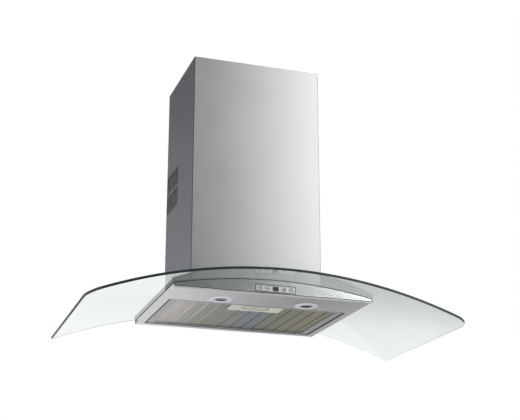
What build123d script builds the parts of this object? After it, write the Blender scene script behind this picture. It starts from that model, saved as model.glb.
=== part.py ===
from build123d import *
import os
from math import asin, cos, degrees, pi, radians, sin, sqrt, tan

# A wall-mounted range hood: an arched glass canopy on a thin steel tray, with a grease filter and two
# downlights below, and a motor box inside a two-part chimney above.
# The wall is the plane y = 0 and the room lies towards -y. x = 0 is the middle of the hood, and z = 0 is
# the underside of the tray. Sizes are in millimetres. Depths are measured from the wall.

# ---------------------------------------------------------------- driving dimensions
# clearances
touch_gap = 0.1  # between two pieces that lie on each other
slide_gap = 0.3  # between pieces of which one moves
running_gap = 0.05  # all round a pin or shaft that turns in its hole
hole_gap = 0.25  # all round a screw in its hole
press_gap = 0.02  # all round a pin or thread that is fixed in its hole

# glass canopy
glass_width = 900
glass_depth = 480
glass_thickness = 6
glass_radius = 1180  # underside of the arch
glass_corner_radius = 34
glass_wall_gap = 2
notch_gap = 2  # round the motor box
notch_corner_radius = 5
gasket_thickness = 1.0
gasket_width = 10
gasket_inset = 3

# tray
tray_width = 480
tray_depth = 396
sheet = 1.0  # stainless sheet of tray, fascia and chimney
bend_radius = 1.2
front_bend_radius = 3.0
front_rim_height = 6  # of the tray's front rim, behind the fascia
fascia_lift = 2.4  # from the tray's underside to the fascia's lower edge
side_flange = 19
back_flange = 18
front_flange = 118
lip_height = 8
intake_width = 216
intake_front_rim = 60  # from the filter recess's front edge to the air opening
intake_back_rim = 4  # from the filter recess's back edge to the air opening

# grease filter
filter_gap = 1.5  # round the filter in its recess
filter_sink = 1.0  # the filter's face above the tray's underside
filter_thickness = 7.6
filter_headroom = 2.0  # over the filter's long edges
filter_side_rail = 21
filter_end_rail = 10
filter_skin = 1.0  # wall of the folded frame
mesh_bite = 6  # how far the mesh reaches into the frame
mesh_sheet = 0.6
core_layers = 3  # flat layers between the lower and the upper mesh
mesh_fold_pitch = 30
mesh_fold_width = 5
mesh_fold_height = 1.1
peg_radius = 1.5
peg_inset = 3.4  # from the filter's back edge to the pegs' axis
peg_reach = 1.5  # past the outside of the recess's lip

# latch
latch_width = 132
latch_depth = 47
latch_wall = 1.0
latch_corner_radius = 1.5
finger_slot_length = 67
finger_slot_width = 22
finger_slot_setback = 7  # from the latch plate's front edge
slider_width = 60
slider_depth = 22
slider_thickness = 1.2
finger_bar_depth = 4
tongue_width = 24
spring_radius = 1.2  # to the middle of the wire
spring_wire_radius = 0.25
spring_turns = 7

# controls
panel_width = 96
panel_height = 15.5
panel_corner_radius = 1.2
panel_proud = 0.8
panel_rim = 2.2  # from the panel's edge to the hole in the fascia
panel_centre_height = 12.5
display_width = 13
display_height = 9
button_width = 10
button_height = 7
button_proud = 0.8
button_travel = 1.5
button_flange = 1.0  # width and thickness of the rim that keeps a button in
inner_button_place = 20  # from the middle
outer_button_place = 37.5
panel_depth = 2.4  # of the panel's body behind the fascia's face
button_stem_radius = 1.5
button_stem_length = 2.5
switch_height = 3.5
switch_body_height = 2.4
switch_size = 6
board_thickness = 1.6
carrier_wall = 1.5
carrier_rim = 2  # how far the carrier reaches past the panel

# lamps
lamp_place = 106  # from the middle
lamp_inset = 83  # from the tray's front to the middle of a lamp
lamp_bezel_radius = 28
lamp_bezel_drop = 1.8
pry_notch_width = 4  # in a bezel's rim, for a screwdriver's tip
pry_notch_depth = 2.4
lamp_window_radius = 14.5
lamp_neck_radius = 24.8
lamp_wall = 0.8
lens_thickness = 1.6
lens_overlap = 3.5  # of the lens on the bezel
bulb_radius = 4.5
bulb_length = 9
socket_width = 16
socket_depth = 11
socket_height = 5

# blower
impeller_radius = 75
impeller_width = 90
impeller_blades = 36
blade_depth = 14  # from the impeller's rim inwards
blade_thickness = 1.0
blade_lean = 4  # of a blade's outer edge round the impeller
blade_bow = 2.5
impeller_disc = 2.0
hub_radius = 10
hub_length = 12
shaft_radius = 4
shaft_stub = 9  # past the motor's far end
shaft_tip = 3  # past the impeller's hub
motor_radius = 41
motor_length = 70
motor_edge = 4
motor_boss_radius = 14
motor_boss_length = 6
motor_gap = 8  # between motor and impeller disc
scroll_start_gap = 9  # between impeller and scroll at the cut-off
scroll_end_gap = 35  # between impeller and scroll at the outlet
scroll_wall = 1.5
scroll_side_gap = 13  # between impeller and side plates
cutoff_angle = 40
outlet_rise = 128  # from the shaft to the top of the scroll
bracket_arm_width = 12
bracket_thickness = 3
bracket_clamp_length = 11
bracket_arm_overlap = 12  # of an arm on the side plate

# motor box
box_sheet = 1.2
box_top = 290
box_front_room = 3.3  # between scroll and box
box_side_room = 75.3  # between scroll and box
box_foot = 30
screw_radius = 2
screw_head_radius = 3.6
screw_head_height = 2.4
screw_length = 7
wall_bolt_radius = 4
wall_bolt_spacing = 240
wall_bolt_rise = 150
wall_bolt_height = 110  # lower row

# outlet collar
collar_radius = 75
collar_wall = 1.5
collar_height = 82
collar_flange = 13
collar_flange_thickness = 2
flap_thickness = 1.2
flap_rim_gap = 0.8
flap_axle_radius = 1.5
flap_axle_height = 12  # over the motor box
flap_barrel_radius = 3.0
flap_barrel_length = 20
flap_barrels = 6
flap_boss_length = 3.5
stop_ledge = 3

# electrical parts in the motor box
capacitor_radius = 16
capacitor_length = 52
capacitor_drop = 30  # from the top of the motor box
clip_wall = 1.5
clip_height = 14
transformer_width = 44
transformer_depth = 50
transformer_height = 42
coil_inset = 7
coil_overhang = 8
terminal_box_width = 36
terminal_box_depth = 56
terminal_box_height = 50
terminal_wall = 2
terminal_wall_distance = 60  # from the wall to its middle
terminal_drop = 105  # from the top of the motor box to its underside
gland_bore_radius = 4.5
gland_thread_radius = 8
gland_nut_radius = 12
gland_length = 24
gland_side_room = 34  # from the side of the motor box
gland_wall_distance = 45
lead_radius = 2.5
lead_bend_share = 0.45  # of the shorter run at each turn

# chimney
chimney_top = 640
chimney_gap = 2.0  # between outer and inner cover
inner_cover_sheet = 0.8
chimney_side_room = 26.2  # between inner cover and motor box
chimney_front_room = 24.2
chimney_return = 15  # flange at the wall
inner_cover_drop = 4  # the inner cover's top below the outer one's
vent_count = 8
vent_pitch = 14
vent_width = 7
vent_height = 48
vent_row_gap = 7
vent_bottom = 295
vent_wall_distance = 7.5
cover_bracket_height = 20
cover_bracket_depth = 40
cover_bracket_top = 70
wall_strip_height = 30
wall_strip_depth = 16
wall_strip_sheet = 1.5
wall_strip_hole_radius = 3
wall_strip_hole_spacing = 200

# glass fixings
glass_screw_radius = 3
glass_screw_head_radius = 4.6
glass_screw_head_height = 2.2
glass_washer_radius = 5.2
glass_washer_thickness = 1.2
glass_nut_radius = 5
glass_nut_thickness = 4
glass_screw_front_inset = 22
glass_screw_back_inset = 40

# ---------------------------------------------------------------- derived places
recess_half_width = tray_width / 2 - side_flange
recess_front = tray_depth - front_flange
recess_back = back_flange
lamp_depth = tray_depth - lamp_inset

plate_radius = glass_radius - gasket_thickness - 2 * touch_gap  # upper face of the tray's top plate
plate_under_radius = plate_radius - sheet
glass_top_radius = glass_radius + glass_thickness
arch_at_recess = filter_sink + filter_thickness + filter_headroom
arch_centre_z = arch_at_recess - sqrt(plate_under_radius**2 - recess_half_width**2)

filter_half_width = recess_half_width - filter_gap
filter_front = recess_front - filter_gap
filter_back = recess_back + filter_gap
peg_depth = filter_back + peg_inset
peg_height = filter_sink + filter_thickness / 2
peg_outer_end = recess_half_width + sheet + peg_reach
peg_length = filter_side_rail - mesh_bite - filter_skin + filter_gap + sheet + peg_reach
filter_back_round = min(peg_inset, filter_thickness / 2) - slide_gap  # lets the back edge turn in its recess
window_half_width = filter_half_width - filter_side_rail
window_front = filter_front - filter_end_rail
window_back = filter_back + filter_end_rail
groove_floor = filter_sink + filter_skin
groove_roof = filter_sink + filter_thickness - filter_skin

carrier_width = panel_width + 2 * carrier_rim
carrier_height = panel_height + 2 * carrier_rim

latch_front = window_front - touch_gap
latch_back = latch_front - latch_depth
finger_slot_front = latch_front - finger_slot_setback
finger_slot_middle = finger_slot_front - finger_slot_width / 2
tub_half_width = slider_width / 2 + slide_gap + latch_wall
tub_roof = groove_roof - touch_gap
slider_top = tub_roof - latch_wall - slide_gap
slider_bottom = slider_top - slider_thickness
slider_front = finger_slot_front - slide_gap
slider_back = slider_front - slider_depth
tongue_end = recess_front - slide_gap

blower_half_width = impeller_width / 2 + scroll_side_gap
scroll_end_radius = impeller_radius + scroll_end_gap
box_depth = 2 * (scroll_end_radius + scroll_wall + box_front_room + box_sheet)
box_width = 2 * (blower_half_width + scroll_wall + box_side_room + box_sheet)
shaft_depth = box_depth / 2
shaft_z = box_top - box_sheet - touch_gap - outlet_rise
collar_depth = shaft_depth + scroll_end_radius - collar_radius

inner_cover_half_width = box_width / 2 + chimney_side_room + inner_cover_sheet
inner_cover_depth = box_depth + chimney_front_room + inner_cover_sheet
chimney_half_width = inner_cover_half_width + chimney_gap + sheet
chimney_depth = inner_cover_depth + chimney_gap + sheet
inner_cover_top = chimney_top - inner_cover_drop

glass_screw_place = box_width / 2 + chimney_side_room / 2 + touch_gap
glass_screw_depths = (box_depth - glass_screw_front_inset, glass_screw_back_inset)
box_screw_place = (collar_radius + collar_flange + screw_head_radius + 1) * cos(radians(45))


def arch_height(x, radius):
    """Height of an arch that shares the glass's centre, at a distance x from the middle."""
    return arch_centre_z + sqrt(radius**2 - x**2)


def arch_roller(radius, mode):
    """The cylinder under an arch of this radius, from behind the wall to past the glass's front edge."""
    with Locations((0, -glass_depth / 2, arch_centre_z)):
        Cylinder(radius, 2 * glass_depth, rotation=(90, 0, 0), mode=mode)


def arch_plane(x, depth, radius):
    """A plane that lies on an arch of this radius, with its normal away from the arch's centre."""
    return Plane(
        origin=(x, -depth, arch_height(x, radius)),
        x_dir=(sqrt(radius**2 - x**2), 0, -x),
        z_dir=(x, 0, sqrt(radius**2 - x**2)),
    )


def rectangle_between(left, right, front, back, mode=Mode.ADD):
    """A rectangle in plan, between two x values and two depths from the wall."""
    with Locations(((left + right) / 2, -(front + back) / 2)):
        Rectangle(right - left, front - back, mode=mode)


def pan_head_screw(head_radius, head_height, shank_radius, length):
    """A screw with its head above each current location and its shank below."""
    Cylinder(head_radius, head_height, align=(Align.CENTER, Align.CENTER, Align.MIN))
    Cylinder(shank_radius, length, align=(Align.CENTER, Align.CENTER, Align.MAX))


glass_screw_planes = [
    arch_plane(side * glass_screw_place, depth, glass_top_radius)
    for side in (-1, 1)
    for depth in glass_screw_depths
]

os.makedirs("parts", exist_ok=True)

# ---------------------------------------------------------------- glass canopy
glass_half_angle = degrees(asin(glass_width / 2 / glass_top_radius))

with BuildPart() as glass_canopy:
    with BuildSketch(Plane.XZ.offset(glass_wall_gap)):
        with BuildLine():
            arch_start, arch_span = 90 - glass_half_angle, 2 * glass_half_angle
            under_arc = CenterArc((0, arch_centre_z), glass_radius, arch_start, arch_span)
            top_arc = CenterArc((0, arch_centre_z), glass_top_radius, arch_start, arch_span)
            Line(under_arc @ 0, top_arc @ 0)
            Line(under_arc @ 1, top_arc @ 1)
        make_face()
    extrude(amount=glass_depth - glass_wall_gap)
    tip_edges = glass_canopy.edges().filter_by(lambda edge: abs(edge.length - glass_thickness) < 0.01)
    fillet(tip_edges.group_by(Axis.Y)[0], glass_corner_radius)
    with BuildSketch(Plane.XY):
        notch_room = notch_gap + notch_corner_radius * (1 - cos(radians(45)))
        notch_half_width = box_width / 2 + notch_room
        notch_depth = box_depth + notch_room
        rectangle_between(-notch_half_width, notch_half_width, notch_depth, -notch_depth)
        fillet(vertices().group_by(Axis.Y)[0], notch_corner_radius)
    extrude(amount=box_top, mode=Mode.SUBTRACT)
    with Locations(*glass_screw_planes):
        Cylinder(glass_screw_radius + hole_gap, 3 * glass_thickness, mode=Mode.SUBTRACT)
glass_canopy.part.label = "glass_canopy"
export_step(glass_canopy.part, "parts/glass_canopy.step")

with BuildPart() as glass_gasket:
    gasket_edge = tray_width / 2 - gasket_inset
    gasket_front = tray_depth - sheet - gasket_inset
    gasket_back = glass_wall_gap + gasket_inset
    with BuildSketch(Plane.XY):
        rectangle_between(-gasket_edge, gasket_edge, gasket_front, gasket_back)
        rectangle_between(
            -gasket_edge + gasket_width,
            gasket_edge - gasket_width,
            gasket_front - gasket_width,
            -gasket_width,
            mode=Mode.SUBTRACT,
        )
    extrude(amount=box_top)
    arch_roller(plate_radius + touch_gap + gasket_thickness, Mode.INTERSECT)
    arch_roller(plate_radius + touch_gap, Mode.SUBTRACT)
glass_gasket.part.label = "glass_gasket"
export_step(glass_gasket.part, "parts/glass_gasket.step")

# ---------------------------------------------------------------- tray
lamp_hole_radius = lamp_neck_radius + hole_gap

with BuildPart() as tray_shell:
    with BuildSketch(Plane.XY):
        rectangle_between(-tray_width / 2, tray_width / 2, tray_depth - sheet, 0)
        rectangle_between(
            -tray_width / 2 + sheet, tray_width / 2 - sheet, tray_depth + sheet, sheet, mode=Mode.SUBTRACT
        )
    extrude(amount=box_top)
    arch_roller(plate_radius, Mode.INTERSECT)
    with BuildSketch(Plane.XY):
        rectangle_between(-tray_width / 2, tray_width / 2, tray_depth - sheet, 0)
    extrude(amount=sheet)
    with BuildSketch(Plane.XY):
        rectangle_between(
            -recess_half_width - sheet, recess_half_width + sheet, recess_front + sheet, recess_back - sheet
        )
    extrude(amount=lip_height)
    with BuildSketch(Plane.XY):
        rectangle_between(-recess_half_width, recess_half_width, recess_front, recess_back)
        with Locations((-lamp_place, -lamp_depth), (lamp_place, -lamp_depth)):
            Circle(lamp_hole_radius)
    extrude(amount=lip_height, mode=Mode.SUBTRACT)
    with Locations((0, -peg_depth, peg_height)):
        Cylinder(peg_radius + running_gap, tray_width - side_flange, rotation=(0, 90, 0), mode=Mode.SUBTRACT)
    with BuildSketch(Plane.XZ.offset(recess_front)):
        with Locations((0, (slider_top + slider_bottom) / 2)):
            Rectangle(tongue_width + 2, slider_thickness + 4 * slide_gap)
    extrude(amount=2 * sheet, mode=Mode.SUBTRACT)
    with BuildSketch(Plane.XY):
        rectangle_between(-tray_width / 2, tray_width / 2, tray_depth - sheet, tray_depth - 2 * sheet)
    extrude(amount=front_rim_height)
    fillet(tray_shell.edges().filter_by(Axis.X).group_by(Axis.Z)[0].sort_by(Axis.Y)[0], front_bend_radius)
    with BuildSketch(Plane.XY.offset(panel_centre_height - carrier_height / 2 - touch_gap)):
        rectangle_between(
            -carrier_width / 2 - touch_gap, carrier_width / 2 + touch_gap, tray_depth, tray_depth - 3 * sheet
        )
    extrude(amount=front_rim_height, mode=Mode.SUBTRACT)
    bend_edges = tray_shell.edges().group_by(Axis.Z)[0].filter_by(Axis.Y)
    fillet([bend_edges.sort_by(Axis.X)[0], bend_edges.sort_by(Axis.X)[-1]], bend_radius)
tray_shell.part.label = "tray_shell"
export_step(tray_shell.part, "parts/tray_shell.step")

with BuildPart() as tray_top_plate:
    plate_edge = tray_width / 2 - sheet - touch_gap
    with BuildSketch(Plane.XY):
        rectangle_between(-plate_edge, plate_edge, tray_depth - sheet, sheet + touch_gap)
        rectangle_between(
            -intake_width / 2,
            intake_width / 2,
            recess_front - intake_front_rim,
            recess_back + intake_back_rim,
            mode=Mode.SUBTRACT,
        )
    extrude(amount=box_top)
    arch_roller(plate_radius, Mode.INTERSECT)
    arch_roller(plate_under_radius, Mode.SUBTRACT)
    with Locations(*glass_screw_planes):
        Cylinder(glass_screw_radius + hole_gap, 4 * glass_thickness, mode=Mode.SUBTRACT)
tray_top_plate.part.label = "tray_top_plate"
export_step(tray_top_plate.part, "parts/tray_top_plate.step")

with BuildPart() as front_fascia:
    with BuildSketch(Plane.XZ.offset(tray_depth - sheet)):
        with Locations((0, fascia_lift)):
            Rectangle(tray_width, box_top, align=(Align.CENTER, Align.MIN))
        with Locations((0, panel_centre_height)):
            Rectangle(panel_width - 2 * panel_rim, panel_height - 2 * panel_rim, mode=Mode.SUBTRACT)
    extrude(amount=sheet)
    arch_roller(glass_radius - touch_gap, Mode.INTERSECT)
front_fascia.part.label = "front_fascia"
export_step(front_fascia.part, "parts/front_fascia.step")

# ---------------------------------------------------------------- controls
button_places = {
    "light_button": -outer_button_place,
    "slower_button": -inner_button_place,
    "faster_button": inner_button_place,
    "timer_button": outer_button_place,
}
button_centres = [(x, panel_centre_height) for x in button_places.values()]
panel_back = tray_depth - panel_depth
flange_front = panel_back - slide_gap
stem_front = flange_front - button_flange
stem_end = stem_front - button_stem_length
switch_front = stem_end - button_travel - slide_gap
board_front = switch_front - switch_height
board_back = board_front - board_thickness

with BuildPart() as control_panel:
    with BuildSketch(Plane.XZ.offset(tray_depth)):
        with Locations((0, panel_centre_height)):
            RectangleRounded(panel_width, panel_height, panel_corner_radius)
    extrude(amount=panel_proud)
    with BuildSketch(Plane.XZ.offset(panel_back)):
        with Locations((0, panel_centre_height)):
            Rectangle(
                panel_width - 2 * panel_rim - 2 * touch_gap,
                panel_height - 2 * panel_rim - 2 * touch_gap,
            )
    extrude(amount=panel_depth)
    with BuildSketch(Plane.XZ.offset(panel_back)):
        with Locations((0, panel_centre_height)):
            Rectangle(display_width, display_height)
        with Locations(*button_centres):
            Rectangle(button_width + 2 * slide_gap, button_height + 2 * slide_gap)
    extrude(amount=panel_depth + panel_proud, mode=Mode.SUBTRACT)
control_panel.part.label = "control_panel"
export_step(control_panel.part, "parts/control_panel.step")

with BuildPart() as display_window:
    with BuildSketch(Plane.XZ.offset(panel_back)):
        with Locations((0, panel_centre_height)):
            Rectangle(display_width - 2 * touch_gap, display_height - 2 * touch_gap)
    extrude(amount=panel_depth + panel_proud - touch_gap)
display_window.part.label = "display_window"
export_step(display_window.part, "parts/display_window.step")

for name, x in button_places.items():
    with BuildPart() as button:
        with BuildSketch(Plane.XZ.offset(flange_front)):
            with Locations((x, panel_centre_height)):
                RectangleRounded(button_width, button_height, button_flange)
        extrude(amount=tray_depth + panel_proud + button_proud - flange_front)
        fillet(button.faces().sort_by(Axis.Y)[0].edges(), button_proud / 2)
        with BuildSketch(Plane.XZ.offset(stem_front)):
            with Locations((x, panel_centre_height)):
                Rectangle(button_width + 2 * button_flange, button_height + 2 * button_flange)
        extrude(amount=button_flange)
        with BuildSketch(Plane.XZ.offset(stem_end)):
            with Locations((x, panel_centre_height)):
                Circle(button_stem_radius)
        extrude(amount=button_stem_length)
    button.part.label = name
    export_step(button.part, f"parts/{name}.step")

with BuildPart() as control_carrier:
    carrier_back = board_back - touch_gap - carrier_wall
    with BuildSketch(Plane.XZ.offset(carrier_back)):
        with Locations((0, panel_centre_height)):
            Rectangle(carrier_width, carrier_height)
    extrude(amount=tray_depth - sheet - touch_gap - carrier_back)
    with BuildSketch(Plane.XZ.offset(carrier_back + carrier_wall)):
        with Locations((0, panel_centre_height)):
            Rectangle(carrier_width - 2 * carrier_wall, carrier_height - 2 * carrier_wall)
    extrude(amount=tray_depth, mode=Mode.SUBTRACT)
control_carrier.part.label = "control_carrier"
export_step(control_carrier.part, "parts/control_carrier.step")

with BuildPart() as control_board:
    with BuildSketch(Plane.XZ.offset(board_back)):
        with Locations((0, panel_centre_height)):
            Rectangle(
                carrier_width - 2 * carrier_wall - 2 * touch_gap,
                carrier_height - 2 * carrier_wall - 2 * touch_gap,
            )
    extrude(amount=board_thickness)
control_board.part.label = "control_board"
export_step(control_board.part, "parts/control_board.step")

with BuildPart() as board_switches:
    with BuildSketch(Plane.XZ.offset(board_front)):
        with Locations(*button_centres):
            Rectangle(switch_size, switch_size)
    extrude(amount=switch_body_height)
    with BuildSketch(Plane.XZ.offset(board_front)):
        with Locations(*button_centres):
            Circle(button_stem_radius)
    extrude(amount=switch_height)
board_switches.part.label = "board_switches"
export_step(board_switches.part, "parts/board_switches.step")

# ---------------------------------------------------------------- lamps
lens_radius = lamp_window_radius + lens_overlap
cup_radius = lamp_neck_radius - lamp_wall - touch_gap
cup_bottom = touch_gap
cup_top = arch_height(lamp_place + cup_radius, plate_under_radius) - 2 * lamp_wall
lens_top = touch_gap + lens_thickness
reflector_bottom = lens_top + touch_gap
socket_top = cup_top - lamp_wall - touch_gap
socket_bottom = socket_top - socket_height
bulb_bottom = socket_bottom - bulb_length
reflector_top = socket_bottom - touch_gap
reflector_hole = bulb_radius + 2 * lamp_wall

for side, lamp_x in {"left": -lamp_place, "right": lamp_place}.items():
    lamp_plane = Plane(origin=(lamp_x, -lamp_depth, 0), x_dir=(1, 0, 0), z_dir=(0, -1, 0))
    lamp_axis = Axis((lamp_x, -lamp_depth, 0), (0, 0, 1))

    with BuildPart() as lamp_bezel:
        with BuildSketch(lamp_plane):
            Polygon(
                (lamp_window_radius, 0),
                (lamp_window_radius, -lamp_bezel_drop / 2),
                (lamp_window_radius + 2, -lamp_bezel_drop),
                (lamp_bezel_radius - 4, -lamp_bezel_drop),
                (lamp_bezel_radius, -lamp_bezel_drop / 4),
                (lamp_bezel_radius, 0),
                (lamp_neck_radius, 0),
                (lamp_neck_radius, lip_height),
                (lamp_neck_radius - lamp_wall, lip_height),
                (lamp_neck_radius - lamp_wall, 0),
                align=None,
            )
        revolve(axis=lamp_axis)
        with Locations((lamp_x + lamp_bezel_radius, -lamp_depth, 0)):
            Box(2 * pry_notch_depth, pry_notch_width, 2 * lamp_bezel_drop, mode=Mode.SUBTRACT)
    lamp_bezel.part.label = f"lamp_bezel_{side}"
    export_step(lamp_bezel.part, f"parts/lamp_bezel_{side}.step")

    with BuildPart() as lamp_lens:
        with Locations((lamp_x, -lamp_depth, touch_gap)):
            Cylinder(lens_radius, lens_thickness, align=(Align.CENTER, Align.CENTER, Align.MIN))
        chamfer(lamp_lens.edges().group_by(Axis.Z)[-1], lens_thickness / 4)
    lamp_lens.part.label = f"lamp_lens_{side}"
    export_step(lamp_lens.part, f"parts/lamp_lens_{side}.step")

    with BuildPart() as lamp_bulb:
        with Locations((lamp_x, -lamp_depth, bulb_bottom)):
            Cylinder(bulb_radius, bulb_length - touch_gap, align=(Align.CENTER, Align.CENTER, Align.MIN))
        fillet(lamp_bulb.edges().group_by(Axis.Z)[0], bulb_radius * 0.8)
    lamp_bulb.part.label = f"lamp_bulb_{side}"
    export_step(lamp_bulb.part, f"parts/lamp_bulb_{side}.step")

lamp_centres = [(-lamp_place, -lamp_depth), (lamp_place, -lamp_depth)]

with BuildPart() as lamp_cups:
    with BuildSketch(Plane.XY.offset(cup_bottom)):
        with Locations(*lamp_centres):
            Circle(cup_radius)
    extrude(amount=cup_top - cup_bottom)
    with BuildSketch(Plane.XY.offset(cup_bottom)):
        with Locations(*lamp_centres):
            Circle(cup_radius - lamp_wall)
    extrude(amount=cup_top - cup_bottom - lamp_wall, mode=Mode.SUBTRACT)
lamp_cups.part.label = "lamp_cups"
export_step(lamp_cups.part, "parts/lamp_cups.step")

with BuildPart() as lamp_reflectors:
    for lamp_x, lamp_y in lamp_centres:
        with BuildSketch(Plane(origin=(lamp_x, lamp_y, 0), x_dir=(1, 0, 0), z_dir=(0, -1, 0))):
            Polygon(
                (lens_radius, reflector_bottom),
                (cup_radius - lamp_wall - touch_gap, reflector_bottom),
                (cup_radius - lamp_wall - touch_gap, reflector_bottom + lamp_wall),
                (lens_radius + lamp_wall, reflector_bottom + lamp_wall),
                (reflector_hole + lamp_wall, reflector_top),
                (reflector_hole, reflector_top),
                align=None,
            )
        revolve(axis=Axis((lamp_x, lamp_y, 0), (0, 0, 1)))
lamp_reflectors.part.label = "lamp_reflectors"
export_step(lamp_reflectors.part, "parts/lamp_reflectors.step")

with BuildPart() as lamp_sockets:
    with BuildSketch(Plane.XY.offset(socket_bottom)):
        with Locations(*lamp_centres):
            RectangleRounded(socket_width, socket_depth, socket_height / 2)
    extrude(amount=socket_height)
lamp_sockets.part.label = "lamp_sockets"
export_step(lamp_sockets.part, "parts/lamp_sockets.step")

# ---------------------------------------------------------------- grease filter
peg_middles = [(side * (peg_outer_end - peg_length / 2), -peg_depth, peg_height) for side in (-1, 1)]

with BuildPart() as filter_frame:
    with BuildSketch(Plane.XY.offset(filter_sink)):
        rectangle_between(-filter_half_width, filter_half_width, filter_front, filter_back)
        rectangle_between(
            -window_half_width, window_half_width, window_front, window_back, mode=Mode.SUBTRACT
        )
    extrude(amount=filter_thickness)
    fillet(filter_frame.edges().filter_by(Axis.X).group_by(Axis.Y)[-1], filter_back_round)
    with BuildSketch(Plane.XY.offset(groove_floor)):
        rectangle_between(
            -window_half_width - mesh_bite,
            window_half_width + mesh_bite,
            window_front + mesh_bite,
            window_back - mesh_bite,
        )
    extrude(amount=groove_roof - groove_floor, mode=Mode.SUBTRACT)
    with BuildSketch(Plane.XZ.offset(window_front - slide_gap)):
        with Locations((0, (slider_top + slider_bottom) / 2)):
            Rectangle(tongue_width + 4 * slide_gap, slider_thickness + 2 * slide_gap)
    extrude(amount=filter_end_rail + 1, mode=Mode.SUBTRACT)
    with Locations(*peg_middles):
        Cylinder(peg_radius, peg_length, rotation=(0, 90, 0), mode=Mode.SUBTRACT)
filter_frame.part.label = "filter_frame"
export_step(filter_frame.part, "parts/filter_frame.step")

with BuildPart() as filter_pegs:
    with Locations(*peg_middles):
        Cylinder(peg_radius - press_gap, peg_length, rotation=(0, 90, 0))
filter_pegs.part.label = "filter_pegs"
export_step(filter_pegs.part, "parts/filter_pegs.step")


def mesh_outline():
    """The filter's mesh in plan, with room for the latch at its front edge."""
    mesh_half_width = window_half_width + mesh_bite - touch_gap
    mesh_front = window_front + mesh_bite - touch_gap
    rectangle_between(-mesh_half_width, mesh_half_width, mesh_front, window_back - mesh_bite + touch_gap)
    rectangle_between(
        -latch_width / 2 - touch_gap,
        latch_width / 2 + touch_gap,
        mesh_front + 1,
        latch_back - touch_gap,
        mode=Mode.SUBTRACT,
    )


fold_room = mesh_fold_height + mesh_sheet
lower_mesh_bottom = groove_floor + touch_gap
core_bottom = lower_mesh_bottom + fold_room + touch_gap
upper_mesh_bottom = groove_roof - touch_gap - mesh_sheet
core_top = upper_mesh_bottom - touch_gap
fold_count = int(2 * window_half_width / mesh_fold_pitch)

with BuildPart() as filter_mesh_lower:
    with BuildSketch(Plane.XY.offset(lower_mesh_bottom)):
        mesh_outline()
    extrude(amount=fold_room)
    with BuildSketch(Plane.XZ):
        mesh_reach = window_half_width + mesh_bite
        with BuildLine():
            ridge = [(-mesh_reach, lower_mesh_bottom)]
            for fold in range(fold_count):
                fold_x = (fold - (fold_count - 1) / 2) * mesh_fold_pitch
                ridge.append((fold_x - mesh_fold_width / 2, lower_mesh_bottom))
                ridge.append((fold_x, lower_mesh_bottom + mesh_fold_height))
                ridge.append((fold_x + mesh_fold_width / 2, lower_mesh_bottom))
            ridge.append((mesh_reach, lower_mesh_bottom))
            upper_ridge = [(x, z + mesh_sheet) for x, z in reversed(ridge)]
            Polyline(*ridge, *upper_ridge, close=True)
        make_face()
    extrude(amount=tray_depth, mode=Mode.INTERSECT)
filter_mesh_lower.part.label = "filter_mesh_lower"
export_step(filter_mesh_lower.part, "parts/filter_mesh_lower.step")

with BuildPart() as filter_mesh_core:
    for layer in range(core_layers):
        layer_bottom = core_bottom + layer / (core_layers - 1) * (core_top - mesh_sheet - core_bottom)
        with BuildSketch(Plane.XY.offset(layer_bottom)):
            mesh_outline()
        extrude(amount=mesh_sheet)
filter_mesh_core.part.label = "filter_mesh_core"
export_step(filter_mesh_core.part, "parts/filter_mesh_core.step")

with BuildPart() as filter_mesh_upper:
    with BuildSketch(Plane.XY.offset(upper_mesh_bottom)):
        mesh_outline()
    extrude(amount=mesh_sheet)
filter_mesh_upper.part.label = "filter_mesh_upper"
export_step(filter_mesh_upper.part, "parts/filter_mesh_upper.step")

# ---------------------------------------------------------------- filter latch
tub_back = latch_back + latch_wall
spring_front = slider_back - touch_gap
spring_back = tub_back + latch_wall + touch_gap
spring_z = filter_sink + latch_wall + slide_gap + spring_radius + spring_wire_radius

with BuildPart() as latch_housing:
    with BuildSketch(Plane.XY.offset(filter_sink)):
        rectangle_between(-latch_width / 2, latch_width / 2, latch_front, latch_back)
        fillet(vertices(), latch_corner_radius)
    extrude(amount=latch_wall)
    with BuildSketch(Plane.XY.offset(filter_sink)):
        rectangle_between(-tub_half_width, tub_half_width, latch_front, tub_back)
    extrude(amount=tub_roof - filter_sink)
    with BuildSketch(Plane.XY.offset(filter_sink + latch_wall)):
        rectangle_between(
            -tub_half_width + latch_wall,
            tub_half_width - latch_wall,
            latch_front - latch_wall,
            tub_back + latch_wall,
        )
    extrude(amount=tub_roof - filter_sink - 2 * latch_wall, mode=Mode.SUBTRACT)
    with BuildSketch(Plane.XY):
        with Locations((0, -finger_slot_middle)):
            SlotOverall(finger_slot_length - 2 * latch_wall, finger_slot_width)
    extrude(amount=filter_sink + latch_wall, mode=Mode.SUBTRACT)
    with BuildSketch(Plane.XZ.offset(latch_front - 2 * latch_wall)):
        with Locations((0, (slider_top + slider_bottom) / 2)):
            Rectangle(tongue_width + 4 * slide_gap, slider_thickness + 2 * slide_gap)
    extrude(amount=4 * latch_wall, mode=Mode.SUBTRACT)
latch_housing.part.label = "latch_housing"
export_step(latch_housing.part, "parts/latch_housing.step")

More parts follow.
